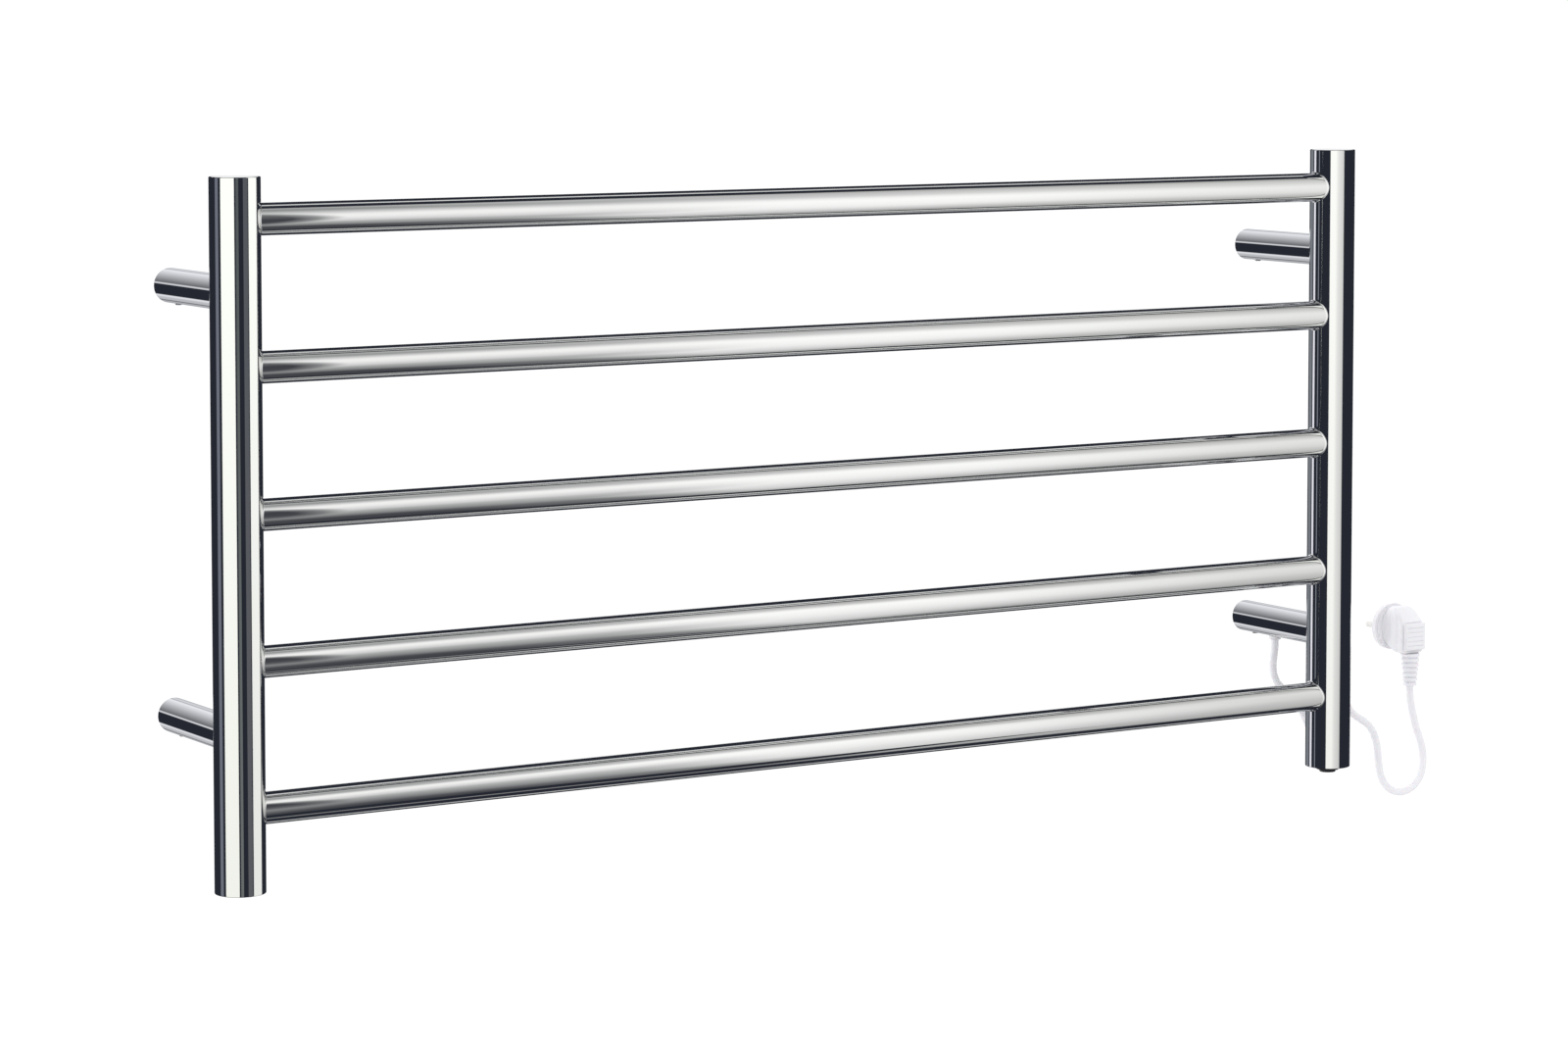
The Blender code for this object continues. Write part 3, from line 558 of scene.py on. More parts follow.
def hexagon_radius(turn, corner):
    """Distance from the middle of a hexagon to its side at a turn."""
    return corner * math.cos(math.pi / 6) / math.cos(turn % (math.pi / 3) - math.pi / 6)


def grub_screw(name):
    """A set screw seen from below, with a hexagon socket in its chamfered end and a band round it."""
    low, high, (x, y, _) = box_of(name)
    radius, steps = (high.x - low.x) / 2, 48
    core, chamfer, band = radius - 0.2 * MM, 0.35 * MM, 0.3 * MM
    socket, depth, socket_edge, drill_tip, step = 1.45 * MM, 2.0 * MM, 0.12 * MM, 0.4 * MM, 0.4 * MM
    outside = [(0.0, high.z), (core, high.z), (core, low.z + chamfer + step),
               (radius, low.z + chamfer + band), (radius, low.z + chamfer), (radius - chamfer, low.z)]
    turns = [2 * math.pi * k / steps for k in range(steps)]
    inner = [hexagon_radius(turn, socket) for turn in turns]
    rows = [[corner] * steps for corner in outside]
    rows.append([(r + socket_edge, low.z) for r in inner])
    rows.append([(r, low.z + socket_edge) for r in inner])
    rows.append([(r, low.z + depth) for r in inner])
    rows.append([(0.0, low.z + depth + drill_tip)] * steps)
    places = []
    for row in rows:
        places.append([(x + max(r, ON_AXIS) * math.cos(turn), y + max(r, ON_AXIS) * math.sin(turn), z)
                       for turn, (r, z) in zip(turns, row)])
    piece = plain_grid(f"{name}_set", places)
    return dress(smooth_by_angle(piece), ZINC, "zinc_steel", name)


JOIN_WITHIN = 4e-6


def plain_grid(name, rows):
    """A surface through rings of points, with its own face normals, facing out."""
    data = bpy.data.meshes.new(name)
    data.from_pydata([tuple(p) for row in rows for p in row], [], ring_faces(len(rows), len(rows[0])))
    made = linked(name, data)
    shape = bmesh.new()
    shape.from_mesh(data)
    bmesh.ops.remove_doubles(shape, verts=shape.verts, dist=JOIN_WITHIN)
    bmesh.ops.recalc_face_normals(shape, faces=shape.faces)
    shape.to_mesh(data)
    shape.free()
    return made


def anchor(name):
    """The turned spigot on the wall inside a standoff, with its screw hole and the grub screw's groove."""
    low, high, (x, _, z) = box_of(name)
    radius = (high.x - low.x) / 2 / MM
    length, screw_hole, head_hole, head_seat = 30, 2.75, 5.2, 20
    neck, groove_start, groove_end = radius - 1.5, 12.6, 18.4
    piece = turned(f"{name}_spigot", mm(
        (head_hole, head_seat), (head_hole, length, 0.3), (radius, length, 0.8), (radius, groove_end, 0.2),
        (neck, groove_end), (neck, groove_start), (radius, groove_start, 0.2), (radius, 0, 0.2),
        (screw_hole, 0), (screw_hole, head_seat), (head_hole, head_seat)), (x, 0, z), "-Y", 64)
    return dress(piece, ZINC, "zinc_steel", name)


def gland():
    """The white ring where the lead leaves the lower right standoff."""
    low, _, (x, y, _) = box_of("cord_gland")
    tube_underside, end = -167.0, low.z / MM
    top, shoulder, flange_top = tube_underside + 3.2, tube_underside + 1.2, tube_underside + 0.6
    bore, neck, flange, lip = 3.3, 4.0, 4.9, 4.3
    piece = turned("cord_gland_ring", mm(
        (bore, top), (neck, top, 0.2), (neck, shoulder), (flange, flange_top, 0.15),
        (flange, end + 0.2, 0.45), (lip, end, 0.3), (bore, end, 0.25), (bore, end + 1.5)),
        (x, y, 0), steps=72)
    return dress(piece, WHITE, "white_plastic", "cord_gland")


for name in STANDOFFS:
    grub_screw(name.replace("standoff", "grub_screw"))
    anchor(name.replace("standoff", "anchor"))
gland()


# ---------------------------------------------------------------- switch

# Every height in the switch is in millimetres above the post's lower end.
SWITCH_AT = (RIGHT_POST.x, RIGHT_POST.y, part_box("right_post")[0].z)


def switch_end_ring():
    """The bright ring that closes the post's end round the housing."""
    hole, outside, top = 8.2, 16.2, 9.7
    piece = turned("switch_end_ring", mm(
        (hole, top), (outside, top, 0.3), (outside, 0, 0.35), (hole, 0, 0.25), (hole, top)),
        SWITCH_AT, steps=96)
    dress(piece, POLISHED_UPRIGHT, "stainless", "switch_holder")


def switch_body():
    """The black housing: a sleeve with a floor that guides the button's stem, and a rim under the ring."""
    wall, outside, rim, mouth = 6.6, 7.9, 9.1, 6.9
    stem_hole, floor, floor_top, top = 2.9, 10, 12, 26
    rim_top, rim_bottom = -0.3, -2.9
    piece = turned("switch_body", mm(
        (wall, top), (outside, top, 0.2), (outside, rim_top), (rim, rim_top, 0.15), (rim, rim_bottom, 0.7),
        (mouth, rim_bottom, 0.4), (mouth, floor), (stem_hole, floor), (stem_hole, floor_top),
        (wall, floor_top), (wall, top)), SWITCH_AT, steps=96)
    dress(piece, BLACK, "black_plastic", "switch_housing")


def switch_push():
    """The push button on its stem, with a ring recess for the spring and a slightly hollow face."""
    stem, stem_top, cap, cap_top = 2.5, 15, 6.6, 3.5
    recess_in, recess_out, recess_floor = 3.7, 5.7, 1.7
    rim_at, hollow_at, face, hollow, hollow_middle = 5.4, 4.6, -4.8, -4.55, -4.45
    piece = turned("switch_push", mm(
        (0, stem_top), (stem, stem_top, 0.3), (stem, cap_top, 0.3), (recess_in, cap_top, 0.2),
        (recess_in, recess_floor), (recess_out, recess_floor), (recess_out, cap_top, 0.2),
        (cap, cap_top, 0.3), (cap, face, 0.6), (rim_at, face, 0.5), (hollow_at, hollow, 2.0),
        (0, hollow_middle)), SWITCH_AT, steps=80)
    dress(piece, BLACK, "black_plastic", "switch_button", body=BUTTON)


switch_end_ring()
switch_body()
switch_push()


# ---------------------------------------------------------------- plug

PLUG_FACE = Vector((621.0, -20.0, -171.5)) * MM


def plug_base():
    """The round face plate with its two earth channels and the step that the cover sits on."""
    radius, thickness, step_radius, step_top = 19.5, 5.2, 17.2, 6.0
    piece = turned("plug_face_plate", mm(
        (0, step_top), (step_radius, step_top, 0.2), (step_radius, thickness, 0.2),
        (radius, thickness, 0.5), (radius, 0, 0.9), (0, 0)), PLUG_FACE, "-Y", 96)
    channel_at, half_channel, channel_edge = 19.2 * MM, Vector((4, 5, 3)) * MM, 0.5 * MM
    cutters = []
    for i, way in enumerate((-1, 1)):
        middle = PLUG_FACE + Vector((0, 0, way * channel_at))
        cutters.append(block(f"earth_channel_{i + 1}", middle - half_channel, middle + half_channel,
                             channel_edge))
    carve(piece, *cutters)
    return dress(smooth_by_angle(piece), WHITE, "white_plastic", "plug_base")


def plug_cover():
    """The cover, from the round face plate to a boxy back, as smoothly blended superellipses.

    Each key is the distance behind the face, half the width, the lowest and the highest point
    from the pins' level, and the power of the superellipse, which is 2 for an ellipse.
    """
    keys = [(6.1, 12.6, -16.5, 16.6, 2.4), (7.2, 11.8, -17.0, 17.2, 2.8), (9.5, 11.0, -17.8, 17.8, 3.4),
            (13.0, 10.8, -18.8, 18.2, 4.0), (15.4, 11.0, -19.6, 18.1, 4.6), (16.6, 11.7, -20.0, 17.9, 5.0),
            (19.0, 11.8, -20.1, 16.9, 5.4), (22.0, 11.7, -20.1, 15.0, 6.0), (24.6, 11.3, -20.1, 13.0, 6.0),
            (26.6, 11.5, -20.1, 11.1, 6.0), (28.8, 11.5, -20.1, 8.9, 6.0), (30.3, 11.3, -19.9, 7.5, 6.0),
            (31.0, 10.9, -19.4, 6.9, 6.0)]
    spacing, across, back_middle = 0.55, 88, -5.5
    rows = [[PLUG_FACE + Vector((0, -keys[0][0], 0)) * MM] * across]
    for behind, half_width, low, high, power in smooth_route(keys, spacing):
        middle, half_height = (low + high) / 2, (high - low) / 2
        row = []
        for k in range(across):
            turn = 2 * math.pi * k / across
            c, s = math.cos(turn), math.sin(turn)
            row.append(PLUG_FACE + Vector((
                half_width * math.copysign(abs(c) ** (2 / power), c), -behind,
                middle + half_height * math.copysign(abs(s) ** (2 / power), s))) * MM)
        rows.append(row)
    rows.append([PLUG_FACE + Vector((0, -keys[-1][0], back_middle)) * MM] * across)
    piece = smooth_by_angle(plain_grid("plug_housing", rows), degrees=40)
    return dress(piece, WHITE, "white_plastic", "plug_cover")


def grip_pad():
    """The pad on the plug's back, with cross grooves and its foot sunk a little into the cover."""
    low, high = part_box("plug_grip_pad")
    sunk, edge = Vector((0, 0.25 * MM, 0)), 0.7 * MM
    piece = block("plug_grip", low, high + sunk, edge)
    count, inset, deep, half_wide, groove_edge = 5, 2.2 * MM, 0.35 * MM, 0.35 * MM, 0.12 * MM
    grooves = []
    for k in range(count):
        z = low.z + (high.z - low.z) * (k + 1) / (count + 1)
        grooves.append(block(f"grip_groove_{k + 1}", (low.x + inset, low.y - 1 * MM, z - half_wide),
                             (high.x - inset, low.y + deep, z + half_wide), groove_edge))
    carve(piece, *grooves)
    return dress(smooth_by_angle(piece), WHITE, "white_plastic", "plug_grip_pad")


def boot():
    """The strain relief, six ribs that get narrower towards the lead."""
    low, high, (x, y, _) = box_of("plug_boot")
    top, bottom = high.z / MM, low.z / MM
    wide, narrow, ribs, collar, bore = 7.8, 5.7, 6, 2.4, 3.05
    into_cover, groove = 0.18, 1.1
    start = top - collar
    pitch = (start - bottom) / ribs
    points = [(0, top + into_cover), (wide, top + into_cover, 0.25), (wide, start, 0.4)]
    for k in range(ribs):
        radius = wide - (wide - narrow) * (k + 1) / ribs
        rib_top = start - k * pitch
        points += [(radius - groove, rib_top - 0.2, 0.25), (radius - groove, rib_top - 1.3, 0.25),
                   (radius, rib_top - 1.7, 0.35), (radius, rib_top - pitch, 0.4)]
    points += [(bore, bottom, 0.2), (bore, bottom + 2)]
    piece = turned("plug_strain_relief", mm(*points), (x, y, 0), steps=72, pieces=3)
    return dress(piece, PVC, "white_pvc", "plug_boot")


def pin(number, way):
    """A round pin with a tapered tip."""
    from_middle, foot, radius, taper_at, tip_radius, tip = 9.5, -0.3, 2.4, -16.6, 1.3, -18.7
    at = PLUG_FACE + Vector((way * from_middle, 0, 0)) * MM
    piece = turned(f"plug_pin_{number}_turned", mm(
        (0, foot), (radius, foot), (radius, taper_at, 1.2), (tip_radius, tip, 1.0), (0, tip)), at, "-Y", 48)
    return dress(piece, NICKEL, "zinc_steel", f"plug_pin_{number}")


PLUG = [plug_base(), plug_cover(), grip_pad(), boot(), pin(1, -1), pin(2, 1)]


# ---------------------------------------------------------------- cord tie

def cord_tie():
    """A soft black band round the hank's waist."""
    low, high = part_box("cord_tie")
    half_height = (high.z - low.z) / 2 / MM
    reach, thick, corner = HANK_FOLD - HANK_WAIST + 4.0, HANK_SPREAD + 4.2, 2.4
    outline = []
    pieces = 7
    for quarter in range(4):
        across = 1 if quarter in (0, 3) else -1
        up = 1 if quarter < 2 else -1
        for k in range(pieces + 1):
            turn = math.pi / 2 * (quarter + k / pieces)
            outline.append((across * (reach - corner) + corner * math.cos(turn),
                            up * (thick - corner) + corner * math.sin(turn),
                            math.cos(turn), math.sin(turn)))
    # The band's own section: millimetres out from the outline, and the share of its half height.
    section = [(-0.75, 1.0), (0.0, 0.97), (0.12, 0.9), (0.16, 0.5), (0.18, 0.0), (0.16, -0.5), (0.12, -0.9),
               (0.0, -0.97), (-0.75, -1.0), (-0.8, -0.97), (-0.8, 0.97), (-0.75, 1.0)]
    rows = []
    for out, share in section:
        level = HANK_CENTRE + np.array((0, 0, share * half_height))
        rows.append([(level + HANK_BACK * (x + nx * out) + HANK_RIGHT * (y + ny * out)) * MM
                     for x, y, nx, ny in outline])
    band = smooth_by_angle(plain_grid("cord_tie_band", rows), degrees=50)
    return dress(band, BLACK_FABRIC, "black_plastic", "cord_tie")


TIE = cord_tie()


# ---------------------------------------------------------------- carried CAD nodes

LOOKS = {
    "stainless": POLISHED_UPRIGHT, "zinc_steel": ZINC, "brass": BRASS, "black_plastic": BLACK,
    "white_plastic": WHITE, "white_pvc": PVC, "red_silicone": SILICONE, "ceramic": CERAMIC,
    "brown_insulation": BROWN, "green_insulation": GREEN,
}
for row in frame["record"]["subparts"]:
    node = frame["nodes"][row["node"]]
    node.data.materials.clear()
    node.data.materials.append(LOOKS[row["material_slot"]])


# ---------------------------------------------------------------- studio

scene = bpy.context.scene
scene.view_settings.view_transform = "Standard"


def make_world():
    """White all round for the camera and for diffuse light, a dark studio in reflections."""
    world = bpy.data.worlds.new("studio")
    scene.world = world
    world.use_nodes = True
    tree = world.node_tree
    tree.nodes.clear()
    out = tree.nodes.new("ShaderNodeOutputWorld")
    path = tree.nodes.new("ShaderNodeLightPath")
    pale = tree.nodes.new("ShaderNodeBackground")
    pale.inputs["Color"].default_value = (1, 1, 1, 1)
    pale.inputs["Strength"].default_value = 1.1
    dark = tree.nodes.new("ShaderNodeBackground")
    dark.inputs["Color"].default_value = (0.020, 0.023, 0.034, 1)
    dark.inputs["Strength"].default_value = 1.0
    mix = tree.nodes.new("ShaderNodeMixShader")
    tree.links.new(path.outputs["Is Glossy Ray"], mix.inputs["Fac"])
    tree.links.new(pale.outputs[0], mix.inputs[1])
    tree.links.new(dark.outputs[0], mix.inputs[2])
    tree.links.new(mix.outputs[0], out.inputs["Surface"])


def make_floor():
    """A pale matt floor, clear from below and left out of the steel's reflections."""
    bpy.ops.mesh.primitive_plane_add(size=60, location=(0, 0, -1.0))
    floor = bpy.context.object
    floor.name = "floor"
    material, tree, shader = nodes_of("pale floor")
    shader.inputs["Base Color"].default_value = (0.95, 0.95, 0.95, 1)
    shader.inputs["Roughness"].default_value = 1.0
    shader.inputs["Specular IOR Level"].default_value = 0.0
    clear = tree.nodes.new("ShaderNodeBsdfTransparent")
    face = tree.nodes.new("ShaderNodeNewGeometry")
    mix = tree.nodes.new("ShaderNodeMixShader")
    out = tree.nodes["Material Output"]
    tree.links.new(face.outputs["Backfacing"], mix.inputs["Fac"])
    tree.links.new(shader.outputs[0], mix.inputs[1])
    tree.links.new(clear.outputs[0], mix.inputs[2])
    tree.links.new(mix.outputs[0], out.inputs["Surface"])
    floor.data.materials.append(material)
    floor.visible_glossy = False
    floor.visible_shadow = False


def make_camera():
    """The photograph's view: from the left in front, a little above, with a small downward shift."""
    data = bpy.data.cameras.new("camera")
    camera = linked("camera", data)
    scene.camera = camera
    data.sensor_width = 36
    data.lens = 101.55
    data.shift_y = -0.15
    camera.location = (-1.7602, -2.9085, 0.3672)
    yaw, down = 0.5524, 0.0681
    level = math.cos(down)
    forward = Vector((math.sin(yaw) * level, math.cos(yaw) * level, -math.sin(down)))
    camera.rotation_mode = "QUATERNION"
    camera.rotation_quaternion = forward.to_track_quat("-Z", "Y")


def receivers(name, objects):
    """A group of pieces that one set of lights shines on."""
    group = bpy.data.collections.new(name)
    for item in objects:
        group.objects.link(item)
    return group


def softbox(name, centre, outward, width, height, level, group, upward=(0, 0, 1)):
    """A rectangular light of a given brightness, seen only by its group.

    Outward is the way from the object to the light. Returns the light's nodes and the (u, v) place
    on it: u runs to the left and v up, as the object sees it.
    """
    data = bpy.data.lights.new(name, "AREA")
    data.shape = "RECTANGLE"
    data.size, data.size_y = width, height
    data.energy = math.pi * width * height * level
    light = linked(name, data)
    back, top = Vector(outward).normalized(), Vector(upward).normalized()
    side = top.cross(back)
    turn = Matrix((side, top, back)).transposed()
    light.matrix_world = Matrix.Translation(Vector(centre)) @ turn.to_4x4()
    light.visible_camera = False
    light.light_linking.receiver_collection = group
    data.use_nodes = True
    place = data.node_tree.nodes.new("ShaderNodeNewGeometry")
    return data.node_tree, place.outputs["Parametric"]


def split(tree, place):
    """The u and the v of a place on a light."""
    node = tree.nodes.new("ShaderNodeSeparateXYZ")
    tree.links.new(place, node.inputs[0])
    return node.outputs["X"], node.outputs["Y"]


def ramp(tree, source, stops):
    """Colours along a 0 to 1 value: stops are (place, grey or colour)."""
    node = tree.nodes.new("ShaderNodeValToRGB")
    band = node.color_ramp.elements
    stops = sorted(stops, key=lambda stop: stop[0])
    while len(band) < len(stops):
        band.new(1.0)
    for element, (place, colour) in zip(band, stops):
        element.position = min(max(place, 0), 1)
        if not isinstance(colour, tuple):
            colour = (colour, colour, colour)
        element.color = (*colour, 1)
    tree.links.new(source, node.inputs["Fac"])
    return node.outputs["Color"]


def product(tree, a, b):
    """One colour times another."""
    node = tree.nodes.new("ShaderNodeVectorMath")
    node.operation = "MULTIPLY"
    tree.links.new(a, node.inputs[0])
    tree.links.new(b, node.inputs[1])
    return node.outputs["Vector"]


def mixed(tree, factor, low, high):
    """From one colour to another, which may be a plain grey, as the factor goes from 0 to 1."""
    node = tree.nodes.new("ShaderNodeMix")
    node.data_type = "RGBA"
    tree.links.new(factor, node.inputs["Factor"])
    tree.links.new(low, node.inputs["A"])
    if isinstance(high, float):
        node.inputs["B"].default_value = (high, high, high, 1)
    else:
        tree.links.new(high, node.inputs["B"])
    return node.outputs["Result"]


def glow(tree, colour):
    """Gives a light its colour."""
    tree.links.new(colour, tree.nodes["Emission"].inputs["Color"])


# The posts' cards stand this far off, with their middle at height 0.
# Above the first height below they have their upper colour, and under the second their lower one.
CARD_REACH, CARD_HEIGHT = 3.0, 8.0
UPPER_COLOUR_FROM, LOWER_COLOUR_TO = 0.12, -0.83
# For each post: a card's name, the compass bearings of its sides, its upper and its lower colour.
CARDS = {
    "left": [
        ("left card", 208, 271, (1.09, 1.10, 1.05), (0.95, 0.96, 0.90)),
        ("right card", 94, 142, (1.09, 1.10, 1.05), (0.86, 0.86, 0.83)),
        ("far left card", 284, 302, (0.145, 0.155, 0.19), (0.145, 0.155, 0.19)),
        ("front glow", 189, 201, (0.075, 0.085, 0.08), (0.13, 0.14, 0.13)),
        ("front right glow", 147, 168, (0.08, 0.085, 0.09), (0.09, 0.09, 0.095)),
    ],
    "right": [
        ("front card", 156, 228, (1.06, 1.06, 1.03), (0.95, 0.95, 0.92)),
        ("left card", 311, 325, (0.83, 0.82, 0.9), (0.83, 0.82, 0.9)),
        ("left glow", 333, 366, (0.17, 0.18, 0.2), (0.17, 0.18, 0.2)),
        ("thin glow", 287, 292, (0.22, 0.23, 0.26), (0.22, 0.23, 0.26)),
    ],
}
# The share of the right post's front card that is left at each bearing.
FRONT_CARD_SHARES = [(156, 0.57), (166, 0.68), (186, 0.80), (200, 1.0), (228, 1.0)]


def upright_card(name, post_at, start, end, top, bottom, group, shares):
    """A tall card round a post between two bearings, with one colour up high and another down low."""
    middle, half = math.radians((start + end) / 2), math.radians((end - start) / 2)
    way = Vector((math.sin(middle), math.cos(middle), 0))
    width = 2 * CARD_REACH * math.tan(half)
    level = max(*top, *bottom)
    tree, place = softbox(name, post_at + way * CARD_REACH, way, width, CARD_HEIGHT, level, group)
    left, up = split(tree, place)
    colour = ramp(tree, up, [
        (LOWER_COLOUR_TO / CARD_HEIGHT + 0.5, tuple(c / level for c in bottom)),
        (UPPER_COLOUR_FROM / CARD_HEIGHT + 0.5, tuple(c / level for c in top))])
    if shares:
        stops = []
        for bearing, share in shares:
            reach = math.tan(math.radians(bearing) - middle) / math.tan(half)
            stops.append(((1 - reach) / 2, share))
        colour = product(tree, colour, ramp(tree, left, stops))
    glow(tree, colour)


def light_posts():
    """The cards round each post, seen by that post alone."""
    for side, at in (("left", LEFT_POST), ("right", RIGHT_POST)):
        group = receivers(f"{side} post", [bpy.data.objects[f"{side}_post_tube"]])
        for card, start, end, top, bottom in CARDS[side]:
            shares = FRONT_CARD_SHARES if card == "front card" else None
            upright_card(f"{side} post, {card}", at, start, end, top, bottom, group, shares)


# The wide panel in front of the bars. Every list holds (height or x in metres, brightness or share).
PANEL_Y = -0.65
PANEL_LEFT, PANEL_RIGHT, PANEL_TOP = -3.0, 3.3, 3.2
PANEL_LEVEL = 1.04
PANEL_FOOT_BELOW, PANEL_LOWEST_BELOW = 1.5, 3.0
# An edge low in front, below which each bar sees no more of the panel.
EDGE_Y, EDGE_Z = -0.21, -0.31
# Brightness up the panel, and the share of it that is left at the panel's left end.
FULL = [(-1.5, 0.55), (-0.94, 0.64), (-0.65, 0.70), (-0.45, 0.76), (-0.3, 0.83), (-0.2, 0.90), (0.0, 0.98),
        (0.2, 1.03), (0.3, 1.04), (0.45, 0.96), (0.65, 0.84), (1.0, 0.74), (1.6, 0.61), (3.0, 0.48)]
LEFT_SHARE = [(-0.65, 0.06), (-0.5, 0.10), (-0.4, 0.19), (-0.3, 0.28), (-0.2, 0.36), (-0.1, 0.45),
              (0.0, 0.66), (0.2, 0.86), (0.4, 0.95), (0.65, 0.72), (0.85, 0.54), (1.1, 0.40), (3.0, 0.45)]
# Brightness up the gap in the panel, and where the gap is: 0 inside it, 1 outside.
SHADE = [(-0.7, 0.02), (-0.45, 0.12), (-0.3, 0.22), (-0.2, 0.10), (-0.08, 0.04), (0.15, 0.03), (0.35, 0.10),
         (0.6, 0.2), (3.0, 0.2)]
GAP = [(-0.36, 1.0), (-0.3, 0.0), (-0.178, 0.0), (-0.15, 1.0)]
# How the left end's brightness turns into the full one along the panel: low down, high up,
# and how the first gives way to the second with height.
LOW_TURN = [(-0.1, 0.0), (0.12, 0.22), (0.27, 1.0)]
HIGH_TURN = [(0.15, 0.0), (0.45, 0.4), (0.7, 0.8), (1.05, 1.0)]
TURN_RISES = [(0.3, 0.0), (0.6, 1.0)]
TURN_LEANS_BELOW, TURN_LEAN = -0.35, 0.55
# Right of this the edge in front ends and the panel shows down to its foot.
EDGE_ENDS = [(0.7, 0.0), (0.85, 1.0)]


def front_panel(bar_tube):
    """The panel in front of a bar, with a gap left of its middle."""
    _, _, (_, y, z) = box_of(bar_tube.name.replace("_tube", ""))
    edge_seen = max(z - (y - PANEL_Y) * (z - EDGE_Z) / (y - EDGE_Y), z - PANEL_LOWEST_BELOW)
    foot = min(edge_seen, z - PANEL_FOOT_BELOW)
    width, height = PANEL_RIGHT - PANEL_LEFT, PANEL_TOP - foot
    centre = ((PANEL_LEFT + PANEL_RIGHT) / 2, PANEL_Y, (foot + PANEL_TOP) / 2)
    tree, place = softbox(f"{bar_tube.name} panel", centre, (0, -1, 0), width, height, PANEL_LEVEL,
                          receivers(bar_tube.name, [bar_tube]))
    x_place, z_place = split(tree, place)

    def up(stops):
        return ramp(tree, z_place, [((at - foot) / height, value) for at, value in stops if at >= foot])

    def along(stops, source=x_place):
        return ramp(tree, source, [((at - PANEL_LEFT) / width, value) for at, value in stops])

    def leaning(stops):
        """Along the panel, in a line that leans to the right below a height."""
        below = tree.nodes.new("ShaderNodeMapRange")
        below.inputs["From Min"].default_value = 0.0
        below.inputs["From Max"].default_value = (TURN_LEANS_BELOW - foot) / height
        below.inputs["To Min"].default_value = (TURN_LEANS_BELOW - foot) * TURN_LEAN / width
        below.inputs["To Max"].default_value = 0.0
        tree.links.new(z_place, below.inputs["Value"])
        moved = tree.nodes.new("ShaderNodeMath")
        moved.operation = "SUBTRACT"
        tree.links.new(x_place, moved.inputs[0])
        tree.links.new(below.outputs["Result"], moved.inputs[1])
        return along(stops, moved.outputs[0])

    full = up([(at, value / PANEL_LEVEL) for at, value in FULL])
    turn = mixed(tree, up(TURN_RISES), leaning(LOW_TURN), along(HIGH_TURN))
    lit = mixed(tree, turn, product(tree, full, up(LEFT_SHARE)), full)
    # To the right the light gets dimmer, most for the lowest bars, and a little warmer.
    far = 0.80 + 0.3 * z
    warmth = along([(0.5, (1.0, 1.0, 0.99)), (0.85, (far, far, far * 0.98)), (2.2, (0.74, 0.74, 0.70))])
    edge = up([(edge_seen - 0.01, 0.0), (edge_seen + 0.01, 1.0)])
    colour = product(tree, mixed(tree, along(GAP), up(SHADE), lit), warmth)
    glow(tree, product(tree, colour, mixed(tree, along(EDGE_ENDS), edge, 1.0)))


def strip(name, y, z, width, level, group):
    """A long light along the bars, above or below them."""
    softbox(name, (1.4, y, z), (0, 0, math.copysign(1, z)), 8.0, width, level, group, (0, 1, 0))


def light_bars():
    """A panel for each bar, and strips and a light behind that they share."""
    for bar_tube in BAR_TUBES:
        front_panel(bar_tube)
    every = receivers("bars", BAR_TUBES)
    strip("bars, strip over", 0.40, 1.5, 0.30, 0.70, every)
    strip("bars, strip under", 0.44, -1.3, 0.34, 0.45, every)
    softbox("bars, strip behind", (0, 3.0, 0), (0, 1, 0), 8.0, 2.0, 0.9, every)
    strip("lower bars, strip in front", -0.45, -1.3, 0.16, 0.2, receivers("lower bars", BAR_TUBES[3:]))


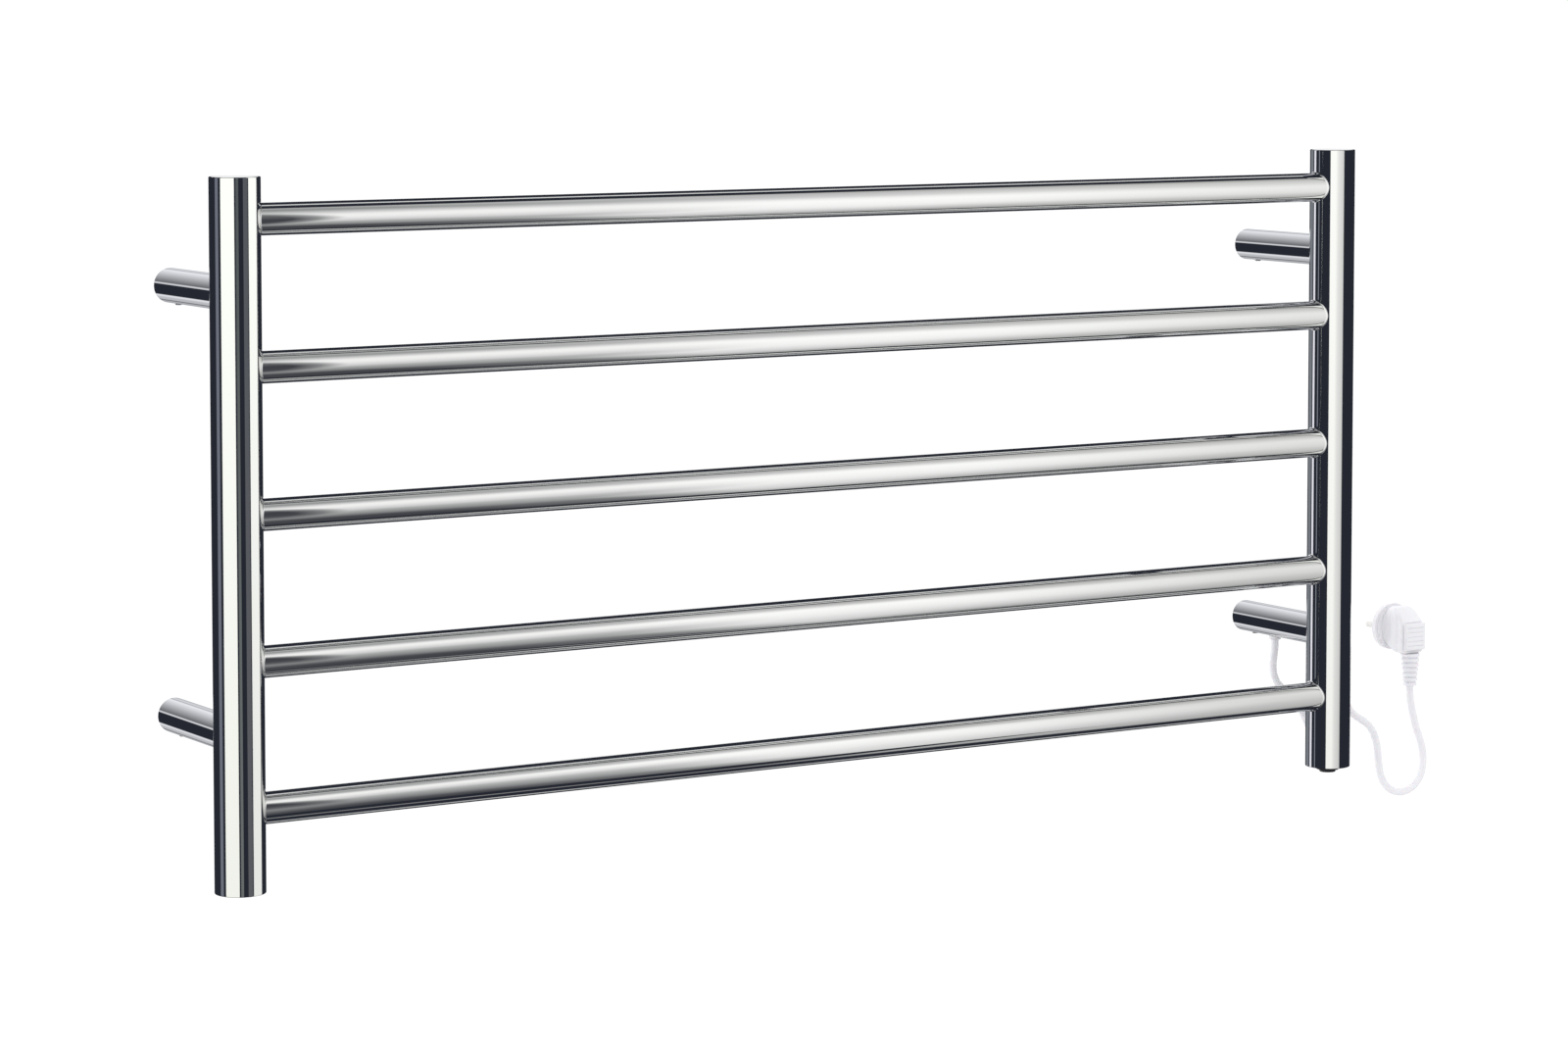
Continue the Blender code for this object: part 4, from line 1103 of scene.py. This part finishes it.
# Brightness by the angle about a standoff's own axis, in degrees.
STANDOFF_TURNS = [
    (-180, 0.45), (-126, 0.42), (-116, 0.45), (-112, 0.12), (-106, 0.12), (-102, 0.52), (-80, 0.56),
    (-70, 0.85), (-62, 0.75), (-59, 0.0), (9, 0.0), (12, 0.70), (19, 0.70), (22, 0.16), (28, 0.16),
    (60, 0.42), (90, 0.68), (122, 0.92), (132, 0.5), (136, 0.4), (142, 0.75), (180, 0.45)]
STANDOFF_TINT = (0.94, 0.95, 1.0)
STANDOFF_LIGHT_Y, STANDOFF_LIGHT_SIZE = 0.9, 4.5


def light_standoffs():
    """Behind each standoff, a square light whose brightness turns about the standoff's own axis."""
    size = STANDOFF_LIGHT_SIZE
    for arm in STANDOFF_TUBES:
        _, _, (x, _, z) = box_of(arm.name.replace("_tube", ""))
        at = (x, STANDOFF_LIGHT_Y, z)
        group = receivers(arm.name, [arm])
        tree, place = softbox(f"{arm.name} light", at, (0, 1, 0), size, size, 1.0, group)
        from_middle = tree.nodes.new("ShaderNodeVectorMath")
        from_middle.operation = "SUBTRACT"
        from_middle.inputs[1].default_value = (0.5, 0.5, 0)
        turn = tree.nodes.new("ShaderNodeTexGradient")
        turn.gradient_type = "RADIAL"
        tree.links.new(place, from_middle.inputs[0])
        tree.links.new(from_middle.outputs[0], turn.inputs["Vector"])
        stops = [((angle + 180) / 360, tuple(value * c for c in STANDOFF_TINT))
                 for angle, value in STANDOFF_TURNS]
        glow(tree, ramp(tree, turn.outputs["Fac"], stops))


def light_small_pieces():
    """Soft light from the front left, the right, behind, above and below for all the other pieces."""
    others = {tube.name for tube in BAR_TUBES + STANDOFF_TUBES}
    others |= {"left_post_tube", "right_post_tube", "floor"}
    group = receivers("small pieces", [
        item for item in scene.objects if item.type in ("MESH", "CURVE") and item.name not in others])
    for name, bearing, z, width, height, level in (("front left", 235, 1.4, 2.6, 3.12, 1.15),
                                                   ("right", 95, 1.2, 2.0, 2.4, 0.7),
                                                   ("behind", 5, 0.0, 9.0, 7.0, 0.88)):
        way = Vector((math.sin(math.radians(bearing)), math.cos(math.radians(bearing)), 0))
        softbox(f"small pieces, {name}", way * 3.0 + Vector((0, 0, z)), way, width, height, level, group)
    for name, way, level in (("above", 1, 0.45), ("below", -1, 0.35)):
        at = (0.3, -0.6, 2.2 * way)
        softbox(f"small pieces, {name}", at, (0, 0, way), 3.0, 2.0, level, group, (0, 1, 0))


make_world()
make_floor()
make_camera()
light_small_pieces()
light_posts()
light_bars()
light_standoffs()


bpy.context.view_layer.update()
